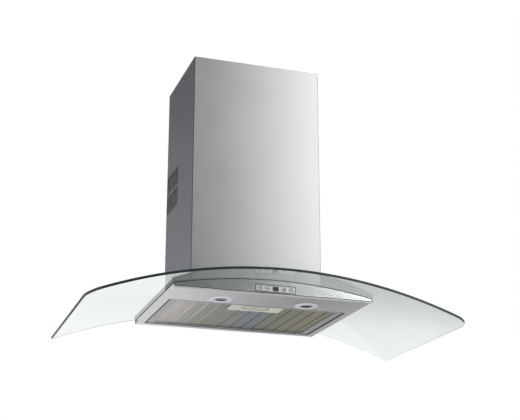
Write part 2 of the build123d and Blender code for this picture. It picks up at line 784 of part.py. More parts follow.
with BuildPart() as latch_slider:
    with BuildSketch(Plane.XY.offset(slider_bottom)):
        rectangle_between(-slider_width / 2, slider_width / 2, slider_front, slider_back)
        rectangle_between(-tongue_width / 2, tongue_width / 2, tongue_end, slider_front)
    extrude(amount=slider_thickness)
    with BuildSketch(Plane.XY.offset(filter_sink + slide_gap)):
        finger_bar_half = finger_slot_length / 2 - finger_slot_width / 2
        rectangle_between(-finger_bar_half, finger_bar_half, slider_front, slider_front - finger_bar_depth)
    extrude(amount=slider_bottom - filter_sink - slide_gap)
    with BuildSketch(Plane.XY.offset(spring_z)):
        rectangle_between(-2 * spring_radius, 2 * spring_radius, slider_back + 1, slider_back)
    extrude(amount=slider_bottom - spring_z)
latch_slider.part.label = "latch_slider"
export_step(latch_slider.part, "parts/latch_slider.step")


def helix_point(turn):
    """A point of the latch spring's wire, counted in turns from its front end."""
    along = (spring_front - spring_wire_radius) + turn / spring_turns * (
        spring_back - spring_front + 2 * spring_wire_radius
    )
    return Vector(spring_radius * cos(2 * pi * turn), -along, spring_z + spring_radius * sin(2 * pi * turn))


def helix_direction(turn):
    """The wire's direction at that point."""
    climb = (spring_front - spring_back - 2 * spring_wire_radius) / spring_turns
    return Vector(
        -2 * pi * spring_radius * sin(2 * pi * turn), climb, 2 * pi * spring_radius * cos(2 * pi * turn)
    ).normalized()


with BuildPart() as latch_spring:
    with BuildLine() as spring_wire:
        # each quarter turn is two arcs that meet smoothly
        for quarter in range(4 * spring_turns):
            start, end = helix_point(quarter / 4), helix_point((quarter + 1) / 4)
            start_way, end_way = helix_direction(quarter / 4), helix_direction((quarter + 1) / 4)
            chord = end - start
            both_ways = start_way + end_way
            turn_share = 2 * (1 - start_way.dot(end_way))
            reach = (
                sqrt(chord.dot(both_ways) ** 2 + turn_share * chord.dot(chord)) - chord.dot(both_ways)
            ) / turn_share
            middle = (start + start_way * reach + end - end_way * reach) * 0.5
            middle_way = (end - end_way * reach - start - start_way * reach).normalized()
            TangentArc(start, middle, tangent=start_way)
            TangentArc(middle, end, tangent=middle_way)
    with BuildSketch(Plane(origin=helix_point(0), z_dir=helix_direction(0))):
        Circle(spring_wire_radius)
    sweep(path=spring_wire.line)
latch_spring.part.label = "latch_spring"
export_step(latch_spring.part, "parts/latch_spring.step")

# ---------------------------------------------------------------- motor box
gland_place = (-box_width / 2 + gland_side_room, -gland_wall_distance)
wall_bolt_centres = [
    (side * wall_bolt_spacing / 2, wall_bolt_height + row * wall_bolt_rise)
    for side in (-1, 1)
    for row in (0, 1)
]
top_screw_centres = [
    (side * box_screw_place, -collar_depth + end * box_screw_place) for side in (-1, 1) for end in (-1, 1)
]
flange_screw_circle = collar_radius + collar_wall + collar_flange / 2

with BuildPart() as motor_box:
    with BuildSketch(Plane.XY):
        rectangle_between(-box_width / 2, box_width / 2, box_depth, 0)
    extrude(amount=box_top)
    with BuildSketch(Plane.XY):
        rectangle_between(
            -box_width / 2 + box_sheet, box_width / 2 - box_sheet, box_depth - box_sheet, box_sheet
        )
    extrude(amount=box_top - box_sheet, mode=Mode.SUBTRACT)
    arch_roller(plate_radius + touch_gap, Mode.SUBTRACT)
    with BuildSketch(Plane.XY.offset(box_top - box_sheet)):
        with Locations((0, -collar_depth)):
            Circle(collar_radius - collar_wall)
        with Locations(gland_place):
            Circle(gland_thread_radius + hole_gap)
        with Locations(*top_screw_centres):
            Circle(screw_radius + hole_gap)
        with Locations((0, -collar_depth)):
            with PolarLocations(flange_screw_circle, 4):
                Circle(screw_radius + hole_gap)
    extrude(amount=box_sheet, mode=Mode.SUBTRACT)
    with BuildSketch(Plane.XZ):
        with Locations(*wall_bolt_centres):
            Circle(wall_bolt_radius)
    extrude(amount=box_sheet, mode=Mode.SUBTRACT)
motor_box.part.label = "motor_box"
export_step(motor_box.part, "parts/motor_box.step")

foot_outer = box_width / 2 - box_sheet - touch_gap
foot_inner = intake_width / 2 + 2
foot_depths = (box_depth - box_sheet - box_foot, box_sheet + box_foot)

with BuildPart() as box_feet:
    with BuildSketch(Plane.XY):
        for side in (-1, 1):
            for depth in foot_depths:
                with Locations((side * (foot_inner + foot_outer) / 2, -depth)):
                    Rectangle(foot_outer - foot_inner, box_foot)
    extrude(amount=box_top)
    arch_roller(plate_radius + touch_gap + box_sheet, Mode.INTERSECT)
    with BuildSketch(Plane.XY):
        for side in (-1, 1):
            for depth in foot_depths:
                with Locations((side * (foot_outer - box_sheet / 2), -depth)):
                    Rectangle(box_sheet, box_foot)
    extrude(amount=arch_height(foot_outer, plate_radius) + box_foot)
    arch_roller(plate_radius + touch_gap, Mode.SUBTRACT)
box_feet.part.label = "box_feet"
export_step(box_feet.part, "parts/box_feet.step")

with BuildPart() as box_screws:
    with Locations(*[(x, y, box_top + touch_gap) for x, y in top_screw_centres]):
        pan_head_screw(screw_head_radius, screw_head_height, screw_radius, screw_length)
    with Locations((0, -collar_depth, box_top + collar_flange_thickness + 2 * touch_gap)):
        with PolarLocations(flange_screw_circle, 4):
            pan_head_screw(screw_head_radius, screw_head_height, screw_radius, screw_length)
box_screws.part.label = "box_screws"
export_step(box_screws.part, "parts/box_screws.step")

# ---------------------------------------------------------------- blower
blower_plane = Plane(origin=(0, -shaft_depth, shaft_z), x_dir=(0, 1, 0), z_dir=(1, 0, 0))
mouth_back = 2 * collar_radius - scroll_end_radius


def scroll_outline(grow):
    """The blower's scroll seen along its shaft, this much larger than the air's path.

    Its radius grows evenly from the cut-off, down behind the impeller and round to the front, and from
    there the two walls of the outlet lead up."""
    turns = 11
    sweep_angle = 180 + cutoff_angle
    curve = []
    for step in range(turns + 1):
        share = step / turns
        radius = impeller_radius + scroll_start_gap + share * (scroll_end_gap - scroll_start_gap) + grow
        angle = radians(cutoff_angle - share * sweep_angle)
        curve.append((radius * cos(angle), radius * sin(angle)))
    with BuildSketch() as outline:
        with BuildLine():
            Spline(*curve)
            Polyline(
                curve[-1],
                (-scroll_end_radius - grow, outlet_rise),
                (mouth_back + grow, outlet_rise),
                curve[0],
            )
        make_face()
    return outline.sketch


air_path = scroll_outline(0)
scroll_shape = scroll_outline(scroll_wall)

with BuildPart() as blower_scroll:
    with BuildSketch(blower_plane.offset(-blower_half_width)):
        add(scroll_shape)
    extrude(amount=2 * blower_half_width)
    with BuildSketch(blower_plane.offset(-blower_half_width)):
        add(air_path)
    extrude(amount=2 * blower_half_width, mode=Mode.SUBTRACT)
blower_scroll.part.label = "blower_scroll"
export_step(blower_scroll.part, "parts/blower_scroll.step")

inlet_radius = impeller_radius - blade_depth

for side, way in {"left": -1, "right": 1}.items():
    with BuildPart() as blower_side:
        with BuildSketch(blower_plane.offset(way * (blower_half_width + touch_gap))):
            add(scroll_shape)
            Circle(inlet_radius, mode=Mode.SUBTRACT)
        extrude(amount=way * scroll_wall)
        with BuildSketch(blower_plane.offset(way * (blower_half_width + touch_gap + scroll_wall))):
            Circle(inlet_radius + scroll_wall)
            Circle(inlet_radius, mode=Mode.SUBTRACT)
        extrude(amount=-way * scroll_side_gap / 2)
        with BuildSketch(Plane.XY.offset(shaft_z + outlet_rise)):
            flange_start = way * (blower_half_width + touch_gap)
            flange_end = way * (box_screw_place + screw_head_radius + 4)
            rectangle_between(
                min(flange_start, flange_end),
                max(flange_start, flange_end),
                shaft_depth + scroll_end_radius + scroll_wall,
                shaft_depth - mouth_back - scroll_wall,
            )
        extrude(amount=-scroll_wall)
        with Locations(*[(x, y, shaft_z + outlet_rise) for x, y in top_screw_centres]):
            Cylinder(screw_radius, 4 * scroll_wall, mode=Mode.SUBTRACT)
    blower_side.part.label = f"blower_side_{side}"
    export_step(blower_side.part, f"parts/blower_side_{side}.step")

motor_end = -impeller_disc / 2 - motor_gap
motor_start = motor_end - motor_length
clamp_start = -blower_half_width - 2 * touch_gap - scroll_wall

with BuildPart() as motor:
    with BuildSketch(blower_plane.offset(motor_start)):
        Circle(motor_radius)
    extrude(amount=motor_length)
    chamfer(motor.edges().filter_by(GeomType.CIRCLE), motor_edge)
    with BuildSketch(blower_plane.offset(motor_start - motor_boss_length)):
        Circle(motor_boss_radius)
    extrude(amount=motor_length + 2 * motor_boss_length)
    with BuildSketch(blower_plane.offset(motor_start - motor_boss_length)):
        Circle(shaft_radius + running_gap)
    extrude(amount=motor_length + 2 * motor_boss_length, mode=Mode.SUBTRACT)
motor.part.label = "motor"
export_step(motor.part, "parts/motor.step")

with BuildPart() as motor_bracket:
    with BuildSketch(blower_plane.offset(clamp_start)):
        with PolarLocations(0, 3, start_angle=30):
            Rectangle(
                inlet_radius + bracket_arm_overlap, bracket_arm_width, align=(Align.MIN, Align.CENTER)
            )
    extrude(amount=-bracket_thickness)
    with BuildSketch(blower_plane.offset(clamp_start)):
        Circle(motor_radius + bracket_thickness)
    extrude(amount=-bracket_clamp_length)
    with BuildSketch(blower_plane.offset(clamp_start)):
        Circle(motor_radius + touch_gap)
    extrude(amount=-bracket_clamp_length, mode=Mode.SUBTRACT)
motor_bracket.part.label = "motor_bracket"
export_step(motor_bracket.part, "parts/motor_bracket.step")

with BuildPart() as motor_shaft:
    with BuildSketch(blower_plane.offset(motor_start - shaft_stub)):
        Circle(shaft_radius)
    extrude(amount=shaft_stub + motor_length + motor_gap + hub_length + shaft_tip)
    chamfer(motor_shaft.edges().filter_by(GeomType.CIRCLE), shaft_radius / 6)
motor_shaft.part.label = "motor_shaft"
export_step(motor_shaft.part, "parts/motor_shaft.step")

with BuildPart() as impeller:
    with BuildSketch(blower_plane.offset(-impeller_disc / 2)):
        Circle(impeller_radius)
    extrude(amount=impeller_disc)
    for end in (-impeller_width / 2, impeller_width / 2 - impeller_disc):
        with BuildSketch(blower_plane.offset(end)):
            Circle(impeller_radius)
            Circle(impeller_radius - blade_depth, mode=Mode.SUBTRACT)
        extrude(amount=impeller_disc)
    with BuildSketch(blower_plane.offset(-impeller_width / 2)):
        with BuildLine():
            blade_root, blade_tip = inlet_radius + 1, impeller_radius - 0.5
            blade_front = SagittaArc((blade_root, 0), (blade_tip, blade_lean), blade_bow)
            blade_back = SagittaArc(
                (blade_root, blade_thickness), (blade_tip, blade_lean + blade_thickness), blade_bow
            )
            Line(blade_front @ 0, blade_back @ 0)
            Line(blade_front @ 1, blade_back @ 1)
        blade = make_face()
        for index in range(1, impeller_blades):
            add(blade.rotate(Axis.Z, index * 360 / impeller_blades))
    extrude(amount=impeller_width)
    with BuildSketch(blower_plane.offset(-impeller_disc / 2)):
        Circle(hub_radius)
    extrude(amount=hub_length)
    with BuildSketch(blower_plane.offset(-impeller_width)):
        Circle(shaft_radius + press_gap)
    extrude(amount=2 * impeller_width, mode=Mode.SUBTRACT)
impeller.part.label = "impeller"
export_step(impeller.part, "parts/impeller.step")

# ---------------------------------------------------------------- outlet collar and its flaps
collar_bottom = box_top + touch_gap
collar_inner = collar_radius - collar_wall
flap_z = box_top + flap_axle_height
ledge_top = flap_z - flap_thickness / 2 - slide_gap
boss_radius = flap_barrel_radius + 1
boss_inner_end = collar_inner - flap_boss_length

with BuildPart() as outlet_collar:
    with BuildSketch(Plane.XY.offset(collar_bottom)):
        with Locations((0, -collar_depth)):
            Circle(collar_radius + collar_flange)
            with PolarLocations(flange_screw_circle, 4):
                Circle(screw_radius + hole_gap, mode=Mode.SUBTRACT)
    extrude(amount=collar_flange_thickness)
    with BuildSketch(Plane.XY.offset(collar_bottom)):
        with Locations((0, -collar_depth)):
            Circle(collar_radius)
    extrude(amount=collar_height)
    with BuildSketch(Plane.XY.offset(collar_bottom)):
        with Locations((0, -collar_depth)):
            Circle(collar_inner)
    extrude(amount=collar_height, mode=Mode.SUBTRACT)
    with BuildSketch(Plane.XY.offset(ledge_top)):
        with Locations((0, -collar_depth)):
            Circle(collar_inner + collar_wall / 2)
            Circle(collar_inner - stop_ledge, mode=Mode.SUBTRACT)
    extrude(amount=-collar_wall)
    for way in (-1, 1):
        with Locations((way * (boss_inner_end + collar_inner + collar_wall / 2) / 2, -collar_depth, flap_z)):
            Cylinder(boss_radius, collar_inner + collar_wall / 2 - boss_inner_end, rotation=(0, 90, 0))
    with Locations((0, -collar_depth, flap_z)):
        Cylinder(flap_axle_radius + press_gap, 2 * collar_inner, rotation=(0, 90, 0), mode=Mode.SUBTRACT)
outlet_collar.part.label = "outlet_collar"
export_step(outlet_collar.part, "parts/outlet_collar.step")

with BuildPart() as flap_axle:
    with Locations((0, -collar_depth, flap_z)):
        Cylinder(flap_axle_radius, 2 * collar_inner - 2 * touch_gap, rotation=(0, 90, 0))
flap_axle.part.label = "flap_axle"
export_step(flap_axle.part, "parts/flap_axle.step")

flap_radius = collar_inner - flap_rim_gap
flap_start = flap_barrel_radius + 0.5

for name, way, first_barrel in (("flap_front", -1, 0), ("flap_back", 1, 1)):
    barrel_centres = [
        (index - (flap_barrels - 1) / 2) * flap_barrel_length
        for index in range(first_barrel, flap_barrels, 2)
    ]
    with BuildPart() as flap:
        with BuildSketch(Plane.XY.offset(flap_z - flap_thickness / 2)):
            with Locations((0, -collar_depth)):
                Circle(flap_radius)
            with Locations((0, -collar_depth - way * (flap_radius - flap_start))):
                Rectangle(2 * flap_radius, 2 * flap_radius, mode=Mode.SUBTRACT)
            with Locations((-flap_radius, -collar_depth), (flap_radius, -collar_depth)):
                boss_room = flap_radius - boss_inner_end + 1
                Rectangle(2 * boss_room, 2 * boss_radius + 3, mode=Mode.SUBTRACT)
            with Locations(*[(x, -collar_depth + way * flap_start / 2) for x in barrel_centres]):
                Rectangle(flap_barrel_length - 2 * slide_gap, flap_start)
        extrude(amount=flap_thickness)
        with Locations(*[(x, -collar_depth, flap_z) for x in barrel_centres]):
            Cylinder(flap_barrel_radius, flap_barrel_length - 2 * slide_gap, rotation=(0, 90, 0))
        with Locations((0, -collar_depth, flap_z)):
            axle_hole_radius = flap_axle_radius + running_gap
            Cylinder(axle_hole_radius, 2 * collar_radius, rotation=(0, 90, 0), mode=Mode.SUBTRACT)
    flap.part.label = name
    export_step(flap.part, f"parts/{name}.step")

# ---------------------------------------------------------------- electrical parts
wall_x = box_width / 2 - box_sheet - touch_gap
capacitor_x = wall_x - clip_wall - capacitor_radius
capacitor_depth = box_depth / 4
capacitor_bottom = box_top - capacitor_length - capacitor_drop

with BuildPart() as capacitor:
    with Locations((capacitor_x, -capacitor_depth, capacitor_bottom)):
        Cylinder(capacitor_radius, capacitor_length, align=(Align.CENTER, Align.CENTER, Align.MIN))
    fillet(capacitor.edges().filter_by(GeomType.CIRCLE), capacitor_radius / 10)
capacitor.part.label = "capacitor"
export_step(capacitor.part, "parts/capacitor.step")

with BuildPart() as capacitor_clip:
    with BuildSketch(Plane.XY.offset(capacitor_bottom + capacitor_length / 2)):
        with Locations((capacitor_x, -capacitor_depth)):
            Circle(capacitor_radius + clip_wall)
        rectangle_between(
            wall_x - clip_wall,
            wall_x,
            capacitor_depth + capacitor_radius + 2 * clip_wall,
            capacitor_depth - capacitor_radius - 2 * clip_wall,
        )
        with Locations((capacitor_x, -capacitor_depth)):
            Circle(capacitor_radius + touch_gap, mode=Mode.SUBTRACT)
    extrude(amount=clip_height, both=True)
capacitor_clip.part.label = "capacitor_clip"
export_step(capacitor_clip.part, "parts/capacitor_clip.step")

with BuildPart() as transformer:
    transformer_bottom = shaft_z - 2 * transformer_height
    with BuildSketch(Plane.XY.offset(transformer_bottom)):
        rectangle_between(
            wall_x - transformer_width,
            wall_x,
            shaft_depth + transformer_depth / 2,
            shaft_depth - transformer_depth / 2,
        )
    extrude(amount=transformer_height)
    for face in transformer.faces().filter_by(Axis.Y):
        with BuildSketch(Plane(face.center(), x_dir=(1, 0, 0), z_dir=face.normal_at())):
            RectangleRounded(
                transformer_width - 2 * coil_inset, transformer_height - 2 * coil_inset, coil_overhang / 2
            )
        extrude(amount=coil_overhang)
transformer.part.label = "transformer"
export_step(transformer.part, "parts/transformer.step")

terminal_bottom = box_top - terminal_drop
terminal_inner_x = -wall_x + terminal_box_width

with BuildPart() as terminal_box:
    with BuildSketch(Plane.XY.offset(terminal_bottom)):
        rectangle_between(
            -wall_x,
            terminal_inner_x,
            terminal_wall_distance + terminal_box_depth / 2,
            terminal_wall_distance - terminal_box_depth / 2,
        )
    extrude(amount=terminal_box_height)
    with BuildSketch(Plane.XY.offset(terminal_bottom + terminal_wall)):
        rectangle_between(
            -wall_x + terminal_wall,
            terminal_inner_x,
            terminal_wall_distance + terminal_box_depth / 2 - terminal_wall,
            terminal_wall_distance - terminal_box_depth / 2 + terminal_wall,
        )
    extrude(amount=terminal_box_height - 2 * terminal_wall, mode=Mode.SUBTRACT)
terminal_box.part.label = "terminal_box"
export_step(terminal_box.part, "parts/terminal_box.step")

with BuildPart() as terminal_lid:
    with BuildSketch(Plane.XY.offset(terminal_bottom)):
        rectangle_between(
            terminal_inner_x + touch_gap,
            terminal_inner_x + touch_gap + terminal_wall,
            terminal_wall_distance + terminal_box_depth / 2,
            terminal_wall_distance - terminal_box_depth / 2,
        )
    extrude(amount=terminal_box_height)
    fillet(terminal_lid.edges().filter_by(Axis.X), 3)
terminal_lid.part.label = "terminal_lid"
export_step(terminal_lid.part, "parts/terminal_lid.step")

# the lead from the control board, back under the top plate and up beside the blower to the terminal box
lead_x = terminal_box_width / 2 - wall_x
lead_side_x = (foot_inner - blower_half_width) / 2 - foot_inner
lead_floor = groove_roof + 2 * lead_radius
lead_points = [
    Vector(-inner_button_place, -carrier_back + touch_gap, lead_floor),
    Vector(-inner_button_place, -carrier_back + 50, lead_floor),
    Vector(lead_side_x + 25, -recess_front, lead_floor + 1),
    Vector(lead_side_x, -shaft_depth - 90, lead_floor + 4),
    Vector(lead_side_x - 8, -shaft_depth - 50, lead_floor + 50),
    Vector(lead_x + 3, -terminal_wall_distance - 35, terminal_bottom - 85),
    Vector(lead_x, -terminal_wall_distance, terminal_bottom - 50),
    Vector(lead_x, -terminal_wall_distance, terminal_bottom - touch_gap),
]
lead_bends = []
for before, corner, after in zip(lead_points, lead_points[1:], lead_points[2:]):
    shorter_run = min((corner - before).length, (after - corner).length)
    half_turn = radians((corner - before).get_angle(after - corner)) / 2
    lead_bends.append(lead_bend_share * shorter_run / tan(half_turn))

with BuildPart() as control_lead:
    with BuildLine() as lead_path:
        FilletPolyline(*lead_points, radius=lead_bends)
    with BuildSketch(Plane(origin=lead_points[0], z_dir=lead_points[1] - lead_points[0])):
        Circle(lead_radius)
    sweep(path=lead_path.line)
control_lead.part.label = "control_lead"
export_step(control_lead.part, "parts/control_lead.step")
lead_length = sum(edge.length for edge in lead_path.edges())
tube_volume = pi * lead_radius**2 * lead_length
print("lead bend radii", [round(bend) for bend in lead_bends])
print("lead volume against section times length", round(control_lead.part.volume / tube_volume, 4))

with BuildPart() as cable_gland:
    gland_x, gland_y = gland_place
    with BuildSketch(Plane.XY.offset(box_top + touch_gap)):
        with Locations(gland_place):
            RegularPolygon(gland_nut_radius, 6)
    extrude(amount=gland_length / 4)
    with Locations((gland_x, gland_y, box_top + touch_gap)):
        Cylinder(gland_thread_radius + 1, gland_length / 2, align=(Align.CENTER, Align.CENTER, Align.MIN))
        Cylinder(gland_thread_radius, gland_length / 2, align=(Align.CENTER, Align.CENTER, Align.MAX))
    fillet(cable_gland.edges().group_by(Axis.Z)[-1], 1.5)
    with BuildSketch(Plane.XY.offset(box_top - box_sheet - touch_gap)):
        with Locations(gland_place):
            RegularPolygon(gland_nut_radius, 6)
    extrude(amount=-gland_length / 5)
    with Locations((gland_x, gland_y, box_top)):
        Cylinder(gland_bore_radius, 2 * gland_length, mode=Mode.SUBTRACT)
cable_gland.part.label = "cable_gland"
export_step(cable_gland.part, "parts/cable_gland.step")

# ---------------------------------------------------------------- chimney
vent_centres = [
    (
        -vent_wall_distance - vent_width / 2 - index * vent_pitch,
        vent_bottom + vent_height / 2 + row * (vent_height + vent_row_gap),
    )
    for index in range(vent_count)
    for row in (0, 1)
]


def cut_vents(cover_half_width):
    """Two rows of upright slots through both sides of a chimney cover, near the wall."""
    with Locations(*[(0, y, z) for y, z in vent_centres]):
        Box(2 * cover_half_width + 2 * sheet, vent_width, vent_height, mode=Mode.SUBTRACT)


with BuildPart() as chimney_cover:
    with BuildSketch(Plane.XY):
        rectangle_between(-chimney_half_width, chimney_half_width, chimney_depth, 0)
        fillet(vertices().group_by(Axis.Y)[0], bend_radius)
    extrude(amount=chimney_top)
    with BuildSketch(Plane.XY):
        inside_half_width = chimney_half_width - sheet
        rectangle_between(-inside_half_width, inside_half_width, chimney_depth - sheet, sheet)
    extrude(amount=chimney_top, mode=Mode.SUBTRACT)
    with BuildSketch(Plane.XY):
        return_end = chimney_half_width - chimney_return
        rectangle_between(-return_end, return_end, 2 * sheet, -sheet)
    extrude(amount=chimney_top, mode=Mode.SUBTRACT)
    cut_vents(chimney_half_width)
    arch_roller(glass_top_radius + touch_gap, Mode.SUBTRACT)
chimney_cover.part.label = "chimney_cover"
export_step(chimney_cover.part, "parts/chimney_cover.step")

with BuildPart() as telescopic_cover:
    inner_cover_back = sheet + chimney_gap
    inner_cover_bottom = cover_bracket_top + slide_gap
    with BuildSketch(Plane.XY.offset(inner_cover_bottom)):
        rectangle_between(
            -inner_cover_half_width, inner_cover_half_width, inner_cover_depth, inner_cover_back
        )
        fillet(vertices().group_by(Axis.Y)[0], bend_radius)
        rectangle_between(
            -inner_cover_half_width + inner_cover_sheet,
            inner_cover_half_width - inner_cover_sheet,
            inner_cover_depth - inner_cover_sheet,
            -inner_cover_back,
            mode=Mode.SUBTRACT,
        )
    extrude(amount=inner_cover_top - inner_cover_bottom)
    cut_vents(inner_cover_half_width)
    with Locations((0, -wall_strip_depth / 2 - inner_cover_back, inner_cover_top - wall_strip_height / 2)):
        Cylinder(screw_radius + hole_gap, 3 * chimney_half_width, rotation=(0, 90, 0), mode=Mode.SUBTRACT)
telescopic_cover.part.label = "telescopic_cover"
export_step(telescopic_cover.part, "parts/telescopic_cover.step")

with BuildPart() as upper_wall_bracket:
    strip_half_width = inner_cover_half_width - inner_cover_sheet - touch_gap
    with BuildSketch(Plane.XY.offset(inner_cover_top - wall_strip_height)):
        # the strip lies on the wall between the outer cover's flanges and steps over them
        wall_half_width = chimney_half_width - chimney_return - chimney_gap
        strip_front = wall_strip_depth + inner_cover_back
        step_front = inner_cover_back + wall_strip_sheet
        rectangle_between(-strip_half_width, strip_half_width, strip_front, inner_cover_back)
        rectangle_between(-wall_half_width, wall_half_width, step_front, 0)
        rectangle_between(
            -strip_half_width + wall_strip_sheet,
            strip_half_width - wall_strip_sheet,
            strip_front,
            step_front,
            mode=Mode.SUBTRACT,
        )
        rectangle_between(
            -wall_half_width + wall_strip_sheet,
            wall_half_width - wall_strip_sheet,
            step_front,
            wall_strip_sheet,
            mode=Mode.SUBTRACT,
        )
    extrude(amount=wall_strip_height)
    with BuildSketch(Plane.XZ):
        for side in (-1, 1):
            with Locations((side * wall_strip_hole_spacing / 2, inner_cover_top - wall_strip_height / 2)):
                Circle(wall_strip_hole_radius)
    extrude(amount=wall_strip_sheet, mode=Mode.SUBTRACT)
    with Locations((0, -wall_strip_depth / 2 - inner_cover_back, inner_cover_top - wall_strip_height / 2)):
        Cylinder(screw_radius, 3 * chimney_half_width, rotation=(0, 90, 0), mode=Mode.SUBTRACT)
upper_wall_bracket.part.label = "upper_wall_bracket"
export_step(upper_wall_bracket.part, "parts/upper_wall_bracket.step")

with BuildPart() as bracket_screws:
    for side in (-1, 1):
        head_place = Plane(
            origin=(
                side * (inner_cover_half_width + touch_gap),
                -wall_strip_depth / 2 - inner_cover_back,
                inner_cover_top - wall_strip_height / 2,
            ),
            z_dir=(side, 0, 0),
        )
        with Locations(head_place):
            pan_head_screw(screw_head_radius, chimney_gap / 2, screw_radius - press_gap, screw_length)
bracket_screws.part.label = "bracket_screws"
export_step(bracket_screws.part, "parts/bracket_screws.step")

with BuildPart() as cover_brackets:
    bracket_start = box_width / 2 + touch_gap
    bracket_end = chimney_half_width - sheet - touch_gap
    bracket_bottom = cover_bracket_top - cover_bracket_height
    for side in (-1, 1):
        bracket_middle = side * (bracket_start + bracket_end) / 2
        with BuildSketch(Plane.XZ.offset(box_depth / 2 - cover_bracket_depth / 2)):
            with Locations((bracket_middle, bracket_bottom + cover_bracket_height / 2)):
                Rectangle(bracket_end - bracket_start, cover_bracket_height)
            with Locations((bracket_middle, bracket_bottom)):
                Rectangle(
                    bracket_end - bracket_start - 2 * wall_strip_sheet,
                    2 * (cover_bracket_height - wall_strip_sheet),
                    mode=Mode.SUBTRACT,
                )
        extrude(amount=cover_bracket_depth)
cover_brackets.part.label = "cover_brackets"
export_step(cover_brackets.part, "parts/cover_brackets.step")

# ---------------------------------------------------------------- glass fixings
washer_planes = [plane.offset(touch_gap) for plane in glass_screw_planes]
head_planes = [plane.offset(2 * touch_gap + glass_washer_thickness) for plane in glass_screw_planes]
nut_planes = [
    plane.offset(plate_under_radius - glass_top_radius - touch_gap) for plane in glass_screw_planes
]
clamped_thickness = glass_washer_thickness + glass_thickness + gasket_thickness + sheet

with BuildPart() as glass_screws:
    with Locations(*head_planes):
        pan_head_screw(
            glass_screw_head_radius,
            glass_screw_head_height,
            glass_screw_radius,
            clamped_thickness + glass_nut_thickness,
        )
glass_screws.part.label = "glass_screws"
export_step(glass_screws.part, "parts/glass_screws.step")

with BuildPart() as glass_washers:
    with Locations(*washer_planes):
        Cylinder(
            glass_washer_radius, glass_washer_thickness, align=(Align.CENTER, Align.CENTER, Align.MIN)
        )
        Cylinder(glass_screw_radius + touch_gap, 4 * glass_washer_thickness, mode=Mode.SUBTRACT)
glass_washers.part.label = "glass_washers"
export_step(glass_washers.part, "parts/glass_washers.step")

with BuildPart() as glass_nuts:
    with Locations(*nut_planes):
        Cylinder(glass_nut_radius, glass_nut_thickness, align=(Align.CENTER, Align.CENTER, Align.MAX))
        Cylinder(glass_screw_radius + press_gap, 4 * glass_nut_thickness, mode=Mode.SUBTRACT)
glass_nuts.part.label = "glass_nuts"
export_step(glass_nuts.part, "parts/glass_nuts.step")
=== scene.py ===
# %% [markdown]
# # A wall-mounted range hood with an arched glass canopy
#
# The real hood is a thin stainless tray with a grease filter and two lamps below it, a curved sheet of
# glass on top, and a two-part steel chimney that hides the blower. Its solids come from the CAD model,
# already at their real size, so this script gives them their finishes and adds the fine shapes: the
# polished glass, the expanded metal of the filter, screw heads and the marks on the buttons.

import math

import bmesh
import bpy
from mathutils import Matrix, Vector


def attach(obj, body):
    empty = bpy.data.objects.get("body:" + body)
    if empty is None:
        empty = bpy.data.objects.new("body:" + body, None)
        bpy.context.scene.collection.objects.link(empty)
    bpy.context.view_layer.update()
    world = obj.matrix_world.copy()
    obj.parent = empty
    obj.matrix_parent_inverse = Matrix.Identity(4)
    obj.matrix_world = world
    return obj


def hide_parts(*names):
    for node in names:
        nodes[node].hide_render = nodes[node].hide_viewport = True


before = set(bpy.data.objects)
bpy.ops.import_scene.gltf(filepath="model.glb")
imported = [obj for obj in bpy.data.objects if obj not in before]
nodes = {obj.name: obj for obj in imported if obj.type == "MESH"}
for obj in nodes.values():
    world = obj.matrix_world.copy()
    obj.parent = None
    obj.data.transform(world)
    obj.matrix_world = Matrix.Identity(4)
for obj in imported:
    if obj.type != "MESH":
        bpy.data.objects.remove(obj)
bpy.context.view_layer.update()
scene = bpy.context.scene

# %% [markdown]
# ## The camera
#
# The photograph was taken from below, from the left, with the lens tilted up. A camera is nothing but a
# place, two angles and a focal length, so all four are written down. Tilting the camera keeps the lens
# shift at nought.

# %% Camera
camera_place = (-0.8542, -2.8479, -0.6692)
camera_turn = 0.3214  # to the right of straight at the wall, in radians
camera_tilt = 0.3245  # upwards
camera_data = bpy.data.cameras.new("photo_camera")
camera_data.sensor_width = 36
camera_data.lens = 80.77
camera = bpy.data.objects.new("photo_camera", camera_data)
camera.location = camera_place
camera.rotation_euler = (math.pi / 2 + camera_tilt, 0, -camera_turn)
scene.collection.objects.link(camera)
scene.camera = camera
print("camera at", camera_place, "lens", camera_data.lens)

# %% [markdown]
# ## Small helpers for node trees
#
# Materials and Geometry Nodes are trees of nodes, and building one means adding a node, setting its
# values and linking its sockets, over and over. One short function adds a node, and another starts a
# group with named inputs, so that one effect serves many materials. The rest stand for the nodes that
# come back all the time: sums, vectors, ranges and noises.

# %% Node helpers
socket_types = {type(None): "NodeSocketVector", int: "NodeSocketInt", float: "NodeSocketFloat"}


def add_node(tree, kind, inputs=None, **settings):
    """Adds a node. An input given as a socket is linked, and any other value is set."""
    node = tree.nodes.new(kind)
    for name, value in settings.items():
        setattr(node, name, value)
    for name, value in (inputs or {}).items():
        if isinstance(value, bpy.types.NodeSocket):
            tree.links.new(value, node.inputs[name])
        else:
            node.inputs[name].default_value = value
    return node


def new_group(name, kind, inputs, outputs=()):
    """Starts a node group. Inputs are names with their values, None for a vector. Outputs are names."""
    group = bpy.data.node_groups.new(name, kind)
    if kind == "GeometryNodeTree":
        for side in ("INPUT", "OUTPUT"):
            group.interface.new_socket("Geometry", in_out=side, socket_type="NodeSocketGeometry")
    for label, value in inputs.items():
        socket = group.interface.new_socket(label, in_out="INPUT", socket_type=socket_types[type(value)])
        if value is not None:
            socket.default_value = value
    for label in outputs:
        group.interface.new_socket(label, in_out="OUTPUT", socket_type="NodeSocketFloat")
    return group, group.nodes.new("NodeGroupInput").outputs, group.nodes.new("NodeGroupOutput").inputs


def link(tree, source, target):
    tree.links.new(source, target)


def calculator(tree):
    """A function that adds a Math node to the tree and gives its result."""

    def calculate(operation, first, second=0.0):
        return add_node(tree, "ShaderNodeMath", {0: first, 1: second}, operation=operation).outputs["Value"]

    return calculate


